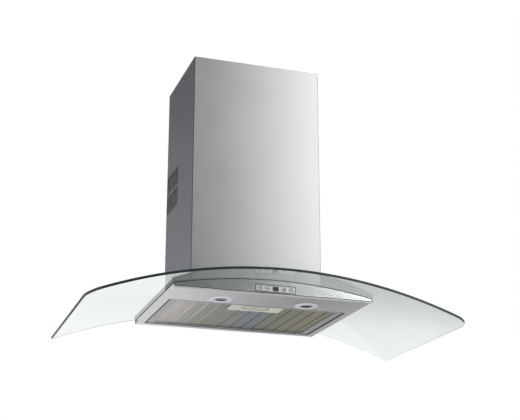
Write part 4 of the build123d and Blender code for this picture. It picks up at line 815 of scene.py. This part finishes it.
add_tree(mesh_source, mesh_tree, {"Rows": mesh_sizes["Rows"]})
expanded_mesh = baked(mesh_source)
filter_net = new_piece("expanded_mesh", expanded_mesh, "filter", "filter_foil")
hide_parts("filter_mesh_lower")
places = [vertex.co for vertex in expanded_mesh.vertices]
low, high = [[pick(place[axis] for place in places) for axis in range(3)] for pick in (min, max)]

# %% [markdown]
# ## Screws
#
# Pan-head screws with a cross recess hold the glass, the motor box and the wall bracket. A screw head is
# cold-formed: its dome is pressed and the cross is struck in with a punch. The tree makes one screw the
# same way, a disc cut to a dome, two bars taken out of it and a shank joined on, and sets a copy on
# every point of the piece, turned to the direction that the point carries. The places and directions
# come from the solids of the CAD model, so the screws can't drift away from their holes.

# %% Geometry Nodes: pan-head screws
screw_sizes = {
    "Head Radius": 0.0036,
    "Head Height": 0.0024,
    "Shank Radius": 0.002,
    "Length": 0.0094,
    "Sides": 32,
}
screw_tree, screw_in, screw_out = new_group("Pan-head screws", "GeometryNodeTree", screw_sizes)
maths = calculator(screw_tree)


def moved(geometry, height):
    """Geometry moved along Z."""
    inputs = {"Geometry": geometry, "Translation": joined(screw_tree, z=height)}
    return add_node(screw_tree, "GeometryNodeTransform", inputs).outputs["Geometry"]


def combined(operation, first, second):
    """Two solids as one, or one cut by the other."""
    boolean = add_node(screw_tree, "GeometryNodeMeshBoolean", operation=operation, solver="EXACT")
    link(screw_tree, first, boolean.inputs["Mesh 1" if operation == "DIFFERENCE" else "Mesh 2"])
    link(screw_tree, second, boolean.inputs["Mesh 2"])
    return boolean.outputs["Mesh"]


def rod(radius, depth):
    """A round rod about the origin."""
    inputs = {"Vertices": screw_in["Sides"], "Radius": radius, "Depth": depth}
    return add_node(screw_tree, "GeometryNodeMeshCylinder", inputs).outputs["Mesh"]


head_radius, head_height = screw_in["Head Radius"], screw_in["Head Height"]
disc = moved(rod(head_radius, head_height), maths("MULTIPLY", head_height, -0.5))
ball = add_node(
    screw_tree, "GeometryNodeMeshUVSphere", {"Segments": screw_in["Sides"], "Rings": 24, "Radius": 1.0}
).outputs["Mesh"]
wide = maths("MULTIPLY", head_radius, 1.12)
flattened = {"Geometry": ball, "Scale": joined(screw_tree, wide, wide, head_height)}
ball = add_node(screw_tree, "GeometryNodeTransform", flattened).outputs["Geometry"]
dome = combined("INTERSECT", disc, moved(ball, maths("MULTIPLY", head_height, -1.0)))
long_side = maths("MULTIPLY", head_radius, 1.15)
short_side = maths("MULTIPLY", head_radius, 0.30)
for sides in ((long_side, short_side), (short_side, long_side)):
    bar_size = joined(screw_tree, *sides, head_height)
    cutter = add_node(screw_tree, "GeometryNodeMeshCube", {"Size": bar_size}).outputs["Mesh"]
    dome = combined("DIFFERENCE", dome, cutter)
shank_length = maths("SUBTRACT", screw_in["Length"], maths("MULTIPLY", head_height, 0.7))
shank = rod(screw_in["Shank Radius"], shank_length)
shank_middle = maths("SUBTRACT", maths("MULTIPLY", shank_length, 0.5), screw_in["Length"])
screw = combined("UNION", dome, moved(shank, shank_middle))
aim = add_node(
    screw_tree, "GeometryNodeInputNamedAttribute", {"Name": "aim"}, data_type="FLOAT_VECTOR"
).outputs["Attribute"]
turn_to = add_node(screw_tree, "FunctionNodeAlignRotationToVector", {"Vector": aim}, axis="Z")
set_out = add_node(
    screw_tree,
    "GeometryNodeInstanceOnPoints",
    {"Points": screw_in["Geometry"], "Instance": screw, "Rotation": turn_to.outputs["Rotation"]},
)
end_tree(screw_tree, set_out.outputs["Instances"], screw_out, "screw_steel")
print("tree:", screw_tree.name)


# %% Set the screws
def solids_of(node):
    """The corners of each separate solid of a CAD node."""
    work = bmesh.new()
    work.from_mesh(nodes[node].data)
    bmesh.ops.remove_doubles(work, verts=work.verts[:], dist=1e-6)
    left, groups = set(work.verts), []
    while left:
        waiting, group = [left.pop()], []
        while waiting:
            vert = waiting.pop()
            group.append(vert.co.copy())
            near = {edge.other_vert(vert) for edge in vert.link_edges} & left
            left -= near
            waiting += near
        groups.append(group)
    work.free()
    return groups


def set_screws(node, body, aim_at, head_radius, head_height, shank_radius):
    """Replaces a node of screws. The function aim_at gives the direction of a head from its place."""
    places, aims, length = [], [], 0
    for corners in solids_of(node):
        middle = sum(corners, Vector()) / len(corners)
        aim = Vector(aim_at(middle)).normalized()
        heights = [corner.dot(aim) for corner in corners]
        length = max(heights) - min(heights)
        places.append(middle + aim * (max(heights) - middle.dot(aim)))
        aims.append(aim)
    points = bpy.data.meshes.new(node)
    points.from_pydata(places, [], [])
    attribute = points.attributes.new("aim", "FLOAT_VECTOR", "POINT")
    for item, aim in zip(attribute.data, aims):
        item.vector = aim
    source = new_object(node, points)
    sizes = {"Head Radius": head_radius, "Head Height": head_height, "Shank Radius": shank_radius}
    add_tree(source, screw_tree, {**sizes, "Length": length})
    mesh = baked(source)
    smooth(mesh, 35)
    screws = new_piece(f"{node}_cross", mesh, body, "screw_steel")
    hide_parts(node)


set_screws("glass_screws", "hood", lambda p: (p.x, 0, p.z - arch_centre_z), 0.0046, 0.0022, 0.0030)
set_screws("box_screws", "hood", lambda p: (0, 0, 1), 0.0036, 0.0024, 0.0020)
set_screws("bracket_screws", "inner_chimney", lambda p: (math.copysign(1, p.x), 0, 0), 0.0036, 0.0010, 0.0020)

# %% [markdown]
# ## Flat parts: rims, marks and rings
#
# Much of what the eye reads as detail is flat: the dark joint round a button, the mark on it, the rim
# of the finger slot. Each could be painted on by a mask, but then the exported model would lose it, so
# they are thin solids. One helper fills a flat outline with its holes, gives it a thickness, rounds
# its edges and turns it to the face it sits on.


# %% Helper for flat parts
def flat_part(shapes, thickness, place, rounding=0.0001):
    """A mesh of flat shapes. Each shape is a list of loops, and the loops after the first are holes."""
    part = bmesh.new()
    for loops in shapes:
        edges = []
        for loop in loops:
            rim = [part.verts.new((x, y, 0)) for x, y in loop]
            edges += [part.edges.new(ends) for ends in pairs(rim)]
        filled = bmesh.ops.triangle_fill(part, edges=edges, use_beauty=True)["geom"]
        faces = [item for item in filled if isinstance(item, bmesh.types.BMFace)]
        raised = bmesh.ops.extrude_face_region(part, geom=faces)["geom"]
        tops = [item for item in raised if isinstance(item, bmesh.types.BMVert)]
        bmesh.ops.translate(part, verts=tops, vec=(0, 0, thickness))
    turn_out(part)
    part.transform(place)
    source = new_object("flat_part", drawn(part, "flat_part"))
    modify(source, "BEVEL", width=rounding, segments=2, limit_method="ANGLE")
    mesh = baked(source)
    smooth(mesh)
    return mesh


def box_loop(width, height, x=0.0, y=0.0, radius=0.0, steps=4):
    """The outline of a rectangle, with rounded corners if a radius is given."""
    half_x, half_y = width / 2 - radius, height / 2 - radius
    if not radius:
        ends = ((-1, -1), (1, -1), (1, 1), (-1, 1))
        return [(x + side_x * half_x, y + side_y * half_y) for side_x, side_y in ends]
    loop = []
    for turn, (side_x, side_y) in enumerate(((1, 1), (-1, 1), (-1, -1), (1, -1))):
        centre = (x + side_x * half_x, y + side_y * half_y)
        loop += corner(centre, radius, 90 * turn, 90 * turn + 90, steps)
    return loop


def ring_loop(radius, x=0.0, y=0.0, steps=32):
    """The outline of a circle."""
    return corner((x, y), radius, 0, 360, steps)[:-1]


def on_front(y):
    """Places a flat part in the plane of the fascia, with its thickness towards the room."""
    return Matrix.Translation((0, y, 0)) @ Matrix.Rotation(math.pi / 2, 4, "X")


def facing_down(x, y, z):
    """Places a flat part under a level face, with its thickness downwards."""
    return Matrix.Translation((x, y, z)) @ Matrix.Rotation(math.pi, 4, "X")


print("helpers for flat parts: 5")

# %% [markdown]
# ## The control panel
#
# The panel is a slim plate with five openings: a dark display in the middle and two buttons on each
# side. On the real part a dark joint runs round the plate and round every button, and each button
# carries a small printed mark: a lamp, a minus and a plus for the fan's speed, and a clock for the
# timer. The marks ride on their buttons, because they travel with them when a button is pressed.

# %% Joints round the plate and the buttons
panel_height = 0.0125
plate_face = on_front(-0.3968)
button_x = {"light_key": -0.0375, "slower_key": -0.020, "faster_key": 0.020, "timer_key": 0.0375}


def joint(x, outer, inner):
    """A joint between two rectangles about one middle, each a width, a height and a corner radius."""
    return [box_loop(width, height, x, panel_height, *radius) for width, height, *radius in (outer, inner)]


plate_rim = joint(0, (0.0976, 0.0171, 0.0019), (0.0945, 0.0140, 0.0009))
button_rims = [joint(x, (0.0119, 0.0089, 0.0012), (0.0105, 0.0075, 0.0008)) for x in button_x.values()]
display_rim = joint(0, (0.0146, 0.0106, 0.0008), (0.0131, 0.0091))
joint_shapes = {"panel_rim": ([plate_rim], 0.0004), "button_joints": (button_rims + [display_rim], 0.0002)}
for name, (shapes, thickness) in joint_shapes.items():
    new_piece(name, flat_part(shapes, thickness, plate_face), "hood", "black_plastic")
print("panel joints:", len(button_rims) + 2)


# %% Marks on the buttons
def ring(radius, width, x, y):
    """A ring as an outline and its hole."""
    return [ring_loop(radius, x, y), ring_loop(radius - width, x, y)]


x = button_x["light_key"]
lamp_ring = ring(0.0026, 0.0014, x, panel_height + 0.0006)
lamp_mark = [lamp_ring, [box_loop(0.0024, 0.0009, x, panel_height - 0.0028)]]
minus_mark = [[box_loop(0.0066, 0.0019, button_x["slower_key"], panel_height)]]
arm, half = 0.0032, 0.00095
plus_loop = [(half, half), (half, arm), (-half, arm), (-half, half), (-arm, half), (-arm, -half)]
plus_loop += [(-half, -half), (-half, -arm), (half, -arm), (half, -half), (arm, -half), (arm, half)]
plus_mark = [[[(button_x["faster_key"] + px, panel_height + py) for px, py in plus_loop]]]
x = button_x["timer_key"]
clock_mark = [
    ring(0.0033, 0.0011, x, panel_height),
    [box_loop(0.0007, 0.0018, x, panel_height + 0.0006)],
    [box_loop(0.0012, 0.0006, x + 0.0010, panel_height)],
]
button_face = on_front(-0.39758)
mark_thickness, mark_rounding = 0.00012, 0.00003
marks = {"light_key": lamp_mark, "slower_key": minus_mark, "faster_key": plus_mark, "timer_key": clock_mark}
for body, shapes in marks.items():
    mark_mesh = flat_part(shapes, mark_thickness, button_face, mark_rounding)
    new_piece(body.replace("_key", "_mark"), mark_mesh, body, "mark_ink")
print("button marks:", len(marks))

# %% [markdown]
# The display shows two figures made of seven bars each. Unlit bars are a little paler than the window,
# so they show as two faint eights, which is what such a display looks like when the hood is off.

# %% Display bars
figure_width, figure_height, stroke = 0.0030, 0.0056, 0.0006
level_length, upright_length = figure_width - 0.0008, figure_height / 2 - 0.0008
segments = []
for centre_x in (-0.0026, 0.0026):
    for level in (-1, 0, 1):
        place_z = panel_height + level * figure_height / 2
        segments.append([box_loop(level_length, stroke, centre_x, place_z)])
    for side in (-1, 1):
        for level in (-1, 1):
            place_x, place_z = centre_x + side * figure_width / 2, panel_height + level * figure_height / 4
            segments.append([box_loop(stroke, upright_length, place_x, place_z)])
display_mesh = flat_part(segments, 0.00008, on_front(-0.39669), 0.00002)
new_piece("display_bars", display_mesh, "hood", "segment_plastic")
print("display bars:", len(segments))

# %% [markdown]
# ## Lamp rings and the latch's rim
#
# Behind each bezel a dark ring holds the lens, so the lamp reads as a bright ring round a dark one.
# The finger slot of the latch has a raised rim, which stiffens the thin plastic round the opening.
# Both are one flat shape with a hole.

# %% Lens rings and slot rim
lamp_x, lamp_y = 0.106, -0.313
lens_loops = [ring_loop(radius, steps=48) for radius in (0.0143, 0.0108)]
for side, x in (("left", -lamp_x), ("right", lamp_x)):
    ring_mesh = flat_part([lens_loops], 0.0007, facing_down(x, lamp_y, -0.00005), 0.0002)
    new_piece(f"lens_ring_{side}", ring_mesh, "hood", "lens_ring_metal")
slot_place = facing_down(0, -0.2484, 0.00105)
slot_sizes = ((0.0690, 0.0262, 0.01305), (0.0652, 0.0222, 0.01105))
slot_loops = [box_loop(width, depth, radius=radius, steps=12) for width, depth, radius in slot_sizes]
slot_rim_mesh = flat_part([slot_loops], 0.0006, slot_place, 0.00018)
new_piece("slot_rim", slot_rim_mesh, "filter", "latch_rim_plastic")
print("lens rings: 2, slot rim: 1")

# %% [markdown]
# ## Seals and the rolled front edge
#
# A bead of black sealant closes the joint between the glass and the steel under it, and a second one
# fills the seam below the fascia. Below that seam the sheet is rolled round, and the roll catches an
# even light from end to end. A bead follows a path, so it is a curve with a round section. The roll is
# one profile pulled along the tray.


# %% Sealant beads
def bead(name, paths, radius):
    """Round beads along open paths, as a plain mesh."""
    curve = bpy.data.curves.new(name, "CURVE")
    curve.dimensions = "3D"
    curve.bevel_depth = radius
    curve.bevel_resolution = 2
    curve.use_fill_caps = True
    for path in paths:
        spline = curve.splines.new("POLY")
        spline.points.add(len(path) - 1)
        for point, place in zip(spline.points, path):
            point.co = (*place, 1)
    mesh = baked(new_object(name, curve))
    smooth(mesh, 40)
    return mesh


def arch_z(x, radius):
    """Height of an arch of this radius at a distance x from the middle."""
    return arch_centre_z + math.sqrt(radius**2 - x**2)


tray_half, tray_front = 0.240, -0.396
seal_x, seal_radius = tray_half + 0.0003, arch_radius - 0.0008
across = [-seal_x + 2 * seal_x * step / 60 for step in range(61)]
side_z = arch_z(seal_x, seal_radius)
seal_path = [(x, tray_front - 0.0003, arch_z(x, seal_radius)) for x in across]
seal_path = [(-seal_x, -0.001, side_z)] + seal_path + [(seal_x, -0.001, side_z)]
seam_half, seam_z = tray_half - 0.0006, 0.00175
seam_path = [(-seam_half, -0.3956, seam_z), (seam_half, -0.3956, seam_z)]
corner_paths = [
    [(side * (tray_half + 0.0001), tray_front - 0.0002, z) for z in (0.0012, side_z)] for side in (-1, 1)
]
bead_mesh = bead("sealant", [seal_path, seam_path, *corner_paths], radius=0.00075)
new_piece("sealant", bead_mesh, "hood", "rubber")
print("sealant faces:", len(bead_mesh.polygons))


# %% Rolled front edge
def bridge(work, first, second):
    """Faces between two closed rings of corners."""
    for (here, ahead), (there, beyond) in zip(pairs(first), pairs(second)):
        work.faces.new((here, ahead, beyond, there))


roll_profile = [(-392.0, -0.1), (-393.1, 0.1), (-394.0, 0.62), (-394.6, 1.05), (-395.6, 1.05), (-396.2, 0.7)]
roll_profile += [(-396.5, 0.0), (-396.35, -0.8), (-395.6, -1.6), (-394.4, -2.05), (-393.0, -2.15)]
roll_profile += [(-391.4, -1.9), (-390.2, -1.3), (-389.5, -0.6), (-389.3, -0.1)]
roll = bmesh.new()
roll_ends = [-tray_half + 0.0002, tray_half - 0.0002]
rims = [[roll.verts.new((x, y / 1000, z / 1000)) for y, z in roll_profile] for x in roll_ends]
bridge(roll, *rims)
for rim in rims:
    roll.faces.new(rim)
turn_out(roll)
roll_mesh = drawn(roll, "front_roll")
smooth(roll_mesh, 45)
new_piece("front_roll", roll_mesh, "hood", "rolled_steel")
print("front roll faces:", len(roll_mesh.polygons))

# %% [markdown]
# ## Painted shade round the filter, and the finger scoop
#
# Round the filter runs a thin gap, and its shade is painted: a dark strip on the filter's own sides
# and a black lining on the recess stand where there is only shade. Each is a strip that follows a few
# straight runs in plan, so one helper turns such a run into an upright wall. The strip rides with the
# filter and the lining stays with the tray. Inside the finger slot the latch has a smooth scoop, a
# dished pill that moves with the slider. It is lofted from ring to ring, each ring smaller and deeper
# by a cosine rule.


# %% Upright strips
def strip(run, thickness, low, high):
    """An upright strip along a run of points in plan. It grows to the left of its direction."""
    walls = bmesh.new()
    rims = []
    for index in range(len(run)):
        around = (max(index - 1, 0), index, min(index + 1, len(run) - 1))
        before, here, after = [Vector(run[near]) for near in around]
        normals = []
        for start, end in ((before, here), (here, after)):
            if (end - start).length > 0:
                ahead = (end - start).normalized()
                normals.append(Vector((-ahead.y, ahead.x)))
        shift = sum(normals, Vector((0, 0)))
        inner = here + shift * (thickness / max(shift.dot(normals[0]), 1e-9))
        side = [(*here, low), (*here, high), (*inner, high), (*inner, low)]
        rims.append([walls.verts.new(co) for co in side])
    for first, second in zip(rims, rims[1:]):
        bridge(walls, first, second)
    walls.faces.new(rims[0])
    walls.faces.new(rims[-1])
    turn_out(walls)
    return drawn(walls, "strip")


filter_half, filter_front_y, filter_back_y = 0.2195, -0.2765, -0.0195
shadow_strip_half, shadow_strip_front_y, shadow_strip_back_y = filter_half + 0.0012, filter_front_y - 0.0012, filter_back_y - 0.006
filter_shadow_run = [(-shadow_strip_half, shadow_strip_back_y), (-shadow_strip_half, shadow_strip_front_y)]
filter_shadow_run += [(shadow_strip_half, shadow_strip_front_y), (shadow_strip_half, shadow_strip_back_y)]
# A dark strip on the filter's sides, painted shade for the gap.
filter_shadow_mesh = strip(filter_shadow_run, thickness=0.0040, low=0.00055, high=0.00115)
new_piece("filter_shadow_strip", filter_shadow_mesh, "filter", "rubber")
recess_half, recess_front_y, recess_back_y = 0.221, -0.278, -0.018
recess_shadow_run = [(-recess_half, recess_front_y), (-recess_half, recess_back_y)]
recess_shadow_run += [(recess_half, recess_back_y), (recess_half, recess_front_y)]
# A black lining on the recess, painted shade for the gap.
recess_shadow_mesh = strip(recess_shadow_run, thickness=-0.00015, low=0.0006, high=0.0075)
new_piece("recess_shadow_lining", recess_shadow_mesh, "hood", "rubber")
print("strips: filter_shadow_strip, recess_shadow_lining")

# %% Finger scoop
scoop = bmesh.new()
scoop_front, scoop_back = -0.2550, -0.2374
scoop_y, rim_width, rim_depth = (scoop_front + scoop_back) / 2, 0.0590, scoop_back - scoop_front
ring_count, most_inset, rim_height, dish_depth = 8, 0.0058, 0.0023, 0.0025
rings = []
for index in range(ring_count + 1):
    turn = index / ring_count
    inset = most_inset * math.sin(turn * math.pi / 2)
    height = rim_height + dish_depth * (1 - math.cos(turn * math.pi)) / 2
    width, depth, rounding = rim_width - 2 * inset, rim_depth - 2 * inset, rim_depth / 2 - inset - 0.0001
    loop = box_loop(width, depth, 0, scoop_y, rounding, 10)
    rings.append([scoop.verts.new((x, y, height)) for x, y in loop])
for first, second in zip(rings, rings[1:]):
    bridge(scoop, first, second)
scoop.faces.new(rings[-1])
turn_out(scoop, facing=-1)
scoop_source = new_object("finger_scoop", drawn(scoop, "finger_scoop"))
modify(scoop_source, "SOLIDIFY", thickness=0.0002, offset=-1)
scoop_mesh = baked(scoop_source)
smooth(scoop_mesh, 50)
new_piece("finger_scoop", scoop_mesh, "latch", "latch_plastic")
print("scoop faces:", len(scoop_mesh.polygons))

# %% [markdown]
# ## The world, the floor and the lamps of the studio
#
# The photograph has a white background, and its light is broad and soft. The world is white to the
# camera, and to rays that metal or glass send on, and at a plainer level for everything it lights. The
# steel shows long soft gradients, which in a studio come from cards beside the camera. They are stage
# pieces here, seen only in mirrors and through the glass, so they shape what shines and add no light.


# %% World and floor
def mixed_shader(tree, factor, first, second):
    """The output of a shader between two."""
    return add_node(tree, "ShaderNodeMixShader", {0: factor, 1: first, 2: second}).outputs["Shader"]


def background(strength):
    """A white background of this strength."""
    inputs = {"Color": (1, 1, 1, 1), "Strength": strength}
    return add_node(sky, "ShaderNodeBackground", inputs).outputs["Background"]


world = bpy.data.worlds.new("studio")
scene.world = world
world.use_nodes = True
sky = world.node_tree
sky.nodes.clear()
maths = calculator(sky)
path = add_node(sky, "ShaderNodeLightPath").outputs
seen = maths("MAXIMUM", path["Is Camera Ray"], path["Is Glossy Ray"])
seen = maths("MAXIMUM", seen, path["Is Transmission Ray"])
lighting_strength, seen_strength = 0.55, 1.0
backgrounds = mixed_shader(sky, seen, background(lighting_strength), background(seen_strength))
add_node(sky, "ShaderNodeOutputWorld", {"Surface": backgrounds})


def flat_piece(name, corners):
    """A single rectangle through four corners."""
    mesh = bpy.data.meshes.new(name)
    mesh.from_pydata(corners, [], [(0, 1, 2, 3)])
    return new_object(name, mesh)


floor_height, floor_half = -1.6, 6
floor = flat_piece("floor", [(*at, floor_height) for at in box_loop(2 * floor_half, 2 * floor_half)])
floor_tree, floor_shader, _ = new_material("pale_floor")
floor_shader["Base Color"].default_value = (0.86, 0.86, 0.86, 1)
floor_shader["Roughness"].default_value = 0.8
from_below = add_node(floor_tree, "ShaderNodeNewGeometry").outputs["Backfacing"]
floor_paint = floor_tree.nodes["Principled BSDF"].outputs["BSDF"]
floor_clear = add_node(floor_tree, "ShaderNodeBsdfTransparent").outputs["BSDF"]
floor_sides = mixed_shader(floor_tree, from_below, floor_paint, floor_clear)
link(floor_tree, floor_sides, floor_tree.nodes["Material Output"].inputs["Surface"])
dress(floor.data, "pale_floor")
print("floor at", floor_height)

# %% [markdown]
# A card is a sheet of board with a printed gradient. Its emission is a colour ramp along one axis of
# the card, and it is hidden from the camera, from shadows and from soft light. Two low cards on the
# wall, left and right of the chimney, show only through the glass and carry a painted shade of the
# wall that changes with height. The dark patch of wall behind the chimney is a painted shadow that
# closes its open back, so that its slots look dark.


# %% Reflection cards
def bare_material(piece):
    """An empty material on a piece, and its tree."""
    material = bpy.data.materials.new(piece.name)
    material.use_nodes = True
    material.node_tree.nodes.clear()
    piece.data.materials.append(material)
    return material.node_tree


def upright(y, low_x, high_x, low_z, high_z):
    """The corners of an upright rectangle that faces the wall or the room."""
    return [(low_x, y, low_z), (high_x, y, low_z), (high_x, y, high_z), (low_x, y, high_z)]


def card(name, corners, axis, rows, through_glass=True):
    """A card whose glow runs through rows, each of a place along the axis and a colour."""
    piece = flat_piece(name, corners)
    tree = bare_material(piece)
    place = split(tree, add_node(tree, "ShaderNodeTexCoord").outputs["Object"])[axis]
    first, last = rows[0][0], rows[-1][0]
    shares = [((at - first) / (last - first), tone) for at, tone in rows]
    tones = ramp_colours(tree, ranged(tree, place, 0, 1, first, last), shares)
    glow = add_node(tree, "ShaderNodeEmission", {"Color": tones, "Strength": 1.0})
    add_node(tree, "ShaderNodeOutputMaterial", {"Surface": glow.outputs["Emission"]})
    for ray in ("camera", "diffuse", "shadow", "volume_scatter"):
        setattr(piece, f"visible_{ray}", False)
    piece.visible_transmission = through_glass
    return piece


chimney_stops = stops(
    (-1.20, 0.85),
    (-0.10, 0.62),
    (0.45, 0.13),
    (0.74, 0.20),
    (0.90, 0.30, 0.305, 0.305),
    (1.06, 0.52, 0.53, 0.53),
    (1.20, 0.80, 0.81, 0.815),
    (1.36, 1.05, 1.06, 1.06),
    (1.60, 1.55),
)
fascia_stops = stops(
    (-1.20, 0.80),
    (-0.15, 0.60),
    (0.36, 0.02),
    (0.67, 0.05),
    (0.86, 0.18),
    (1.05, 0.39),
    (1.40, 0.60),
    (1.53, 0.66, 0.665, 0.66),
    (1.68, 1.35),
)
low_stops = stops((0.3, 0.16, 0.175, 0.17), (1.0, 0.22, 0.235, 0.23), (2.2, 0.28, 0.29, 0.285))
under_stops = stops(
    (0.30, 0.95),
    (1.10, 0.74, 0.74, 0.75),
    (1.45, 0.64, 0.64, 0.655),
    (1.62, 0.54, 0.54, 0.555),
    (1.85, 0.22, 0.22, 0.23),
    (2.15, 0.04, 0.04, 0.045),
    (2.50, 0.24, 0.24, 0.245),
    (2.62, 0.36, 0.36, 0.37),
    (2.85, 0.54, 0.54, 0.555),
)
side_stops = stops((0.6, 0.24, 0.245, 0.265), (1.6, 0.205, 0.21, 0.23), (3.2, 0.09, 0.09, 0.10))
card_front, under_height = -3.6, -1.55
card("chimney_card", upright(card_front, -2.5, 3.5, 1.0, 4.0), "X", chimney_stops)
card("fascia_card", upright(card_front, -2.5, 3.5, 0.2, 1.0), "X", fascia_stops)
card("low_card", upright(card_front, -1.0, 3.5, -1.5, 0.2), "X", low_stops)
under_corners = [(x, y, under_height) for x, y in ((-6, 2.5), (7, 2.5), (7, 8.5), (-6, 8.5))]
card("under_card", under_corners, "X", under_stops, through_glass=False)
card("side_card", upright(5, -4, -0.4, -1.0, 5.5), "Z", side_stops, through_glass=False)

# The two wall cards carry painted shade of the wall, seen only through the glass.
right_wall_painted_shade = stops(
    (0.00, 1.0), (0.05, 0.92), (0.075, 0.81), (0.10, 0.72), (0.13, 0.62), (0.16, 0.55), (0.30, 0.50)
)
left_wall_painted_shade = stops((0.00, 0.93), (0.06, 0.80), (0.12, 0.87), (0.30, 0.9))
chimney_side, shade_end, shade_depth = 0.166, 0.70, 0.003
for name, low_x, high_x, painted_wall_shade in (
    ("wall_shade_right", chimney_side, shade_end, right_wall_painted_shade),
    ("wall_shade_left", -shade_end, -chimney_side, left_wall_painted_shade),
):
    card(name, upright(shade_depth, low_x, high_x, -0.06, 0.22), "Z", painted_wall_shade).visible_glossy = False

# %% The painted shadow on the wall behind the chimney
wall_shadow_patch = flat_piece("wall_shadow_patch", upright(0.002, -0.162, 0.162, 0.03, 0.635))
patch_tree = bare_material(wall_shadow_patch)
behind = add_node(patch_tree, "ShaderNodeNewGeometry").outputs["Backfacing"]
# A near-black sheet where the wall lies in shade: painted shadow.
painted_shadow = add_node(patch_tree, "ShaderNodeBsdfDiffuse", {"Color": (0.05, 0.05, 0.055, 1)}).outputs["BSDF"]
clear = add_node(patch_tree, "ShaderNodeBsdfTransparent").outputs["BSDF"]
patch_sides = mixed_shader(patch_tree, behind, painted_shadow, clear)
add_node(patch_tree, "ShaderNodeOutputMaterial", {"Surface": patch_sides})
wall_shadow_patch.visible_shadow = False
print("cards: 7, wall patch: 1")


# %% Lamps
def soft_lamp(name, place, aim, size, power):
    """A square area lamp that looks at a point."""
    data = bpy.data.lights.new(name, "AREA")
    data.size = size
    data.energy = power
    lamp = new_object(name, data)
    lamp.location = place
    lamp.rotation_euler = (Vector(aim) - Vector(place)).to_track_quat("-Z", "Y").to_euler()
    lamp.visible_glossy = False


soft_lamp("key_lamp", (1.8, -2.4, 1.6), (0, -0.2, 0.2), 1.6, 45)
soft_lamp("fill_lamp", (-1.6, -2.2, -1.0), (0, -0.2, 0.0), 1.6, 18)
soft_lamp("top_lamp", (0, -0.8, 2.6), (0, -0.2, 0.3), 1.5, 20)
print("lamps: 3")

# %% [markdown]
# ## Finishes for the CAD nodes
#
# The nodes whose shape is already right only need their material. One table says which finish each
# node wears. Their round faces are already smooth in model.glb.

# %% Dress the CAD nodes
finishes = {
    "steel_chimney": "chimney_cover telescopic_cover",
    "steel_tray": "tray_shell front_fascia",
    "galvanised": "tray_top_plate lamp_cups motor_box box_feet motor_bracket capacitor_clip "
    "upper_wall_bracket cover_brackets",
    "frame_aluminium": "filter_frame",
    "deep_foil": "filter_mesh_core filter_mesh_upper filter_mesh_lower",
    "bright_aluminium": "lamp_reflectors",
    "panel_plate": "control_panel",
    "screw_steel": "box_screws bracket_screws glass_screws glass_nuts filter_pegs",
    "spring_steel": "latch_spring motor_shaft flap_axle",
    "black_plastic": "control_carrier board_switches blower_scroll blower_side_left blower_side_right "
    "outlet_collar cable_gland",
    "impeller_plastic": "impeller",
    "flap_plastic": "flap_front flap_back",
    "white_plastic": "capacitor terminal_box terminal_lid",
    "latch_plastic": "latch_housing latch_slider",
    "button_plastic": "light_button slower_button faster_button timer_button",
    "display_plastic": "display_window",
    "lamp_bezel": "lamp_bezel_left lamp_bezel_right",
    "ceramic": "lamp_sockets",
    "rubber": "glass_gasket glass_washers",
    "lead_rubber": "control_lead",
    "motor_paint": "motor",
    "transformer_core": "transformer",
    "circuit_board": "control_board",
    "canopy_glass": "glass_canopy lamp_lens_left lamp_lens_right lamp_bulb_left lamp_bulb_right",
}
dressed = [(name, finish) for finish, names in finishes.items() for name in names.split()]
for name, finish in dressed:
    dress(nodes[name].data, finish)
print("nodes with a finish:", len(dressed), "of", len(nodes))

# %% Colours as written
scene.view_settings.view_transform = "Standard"
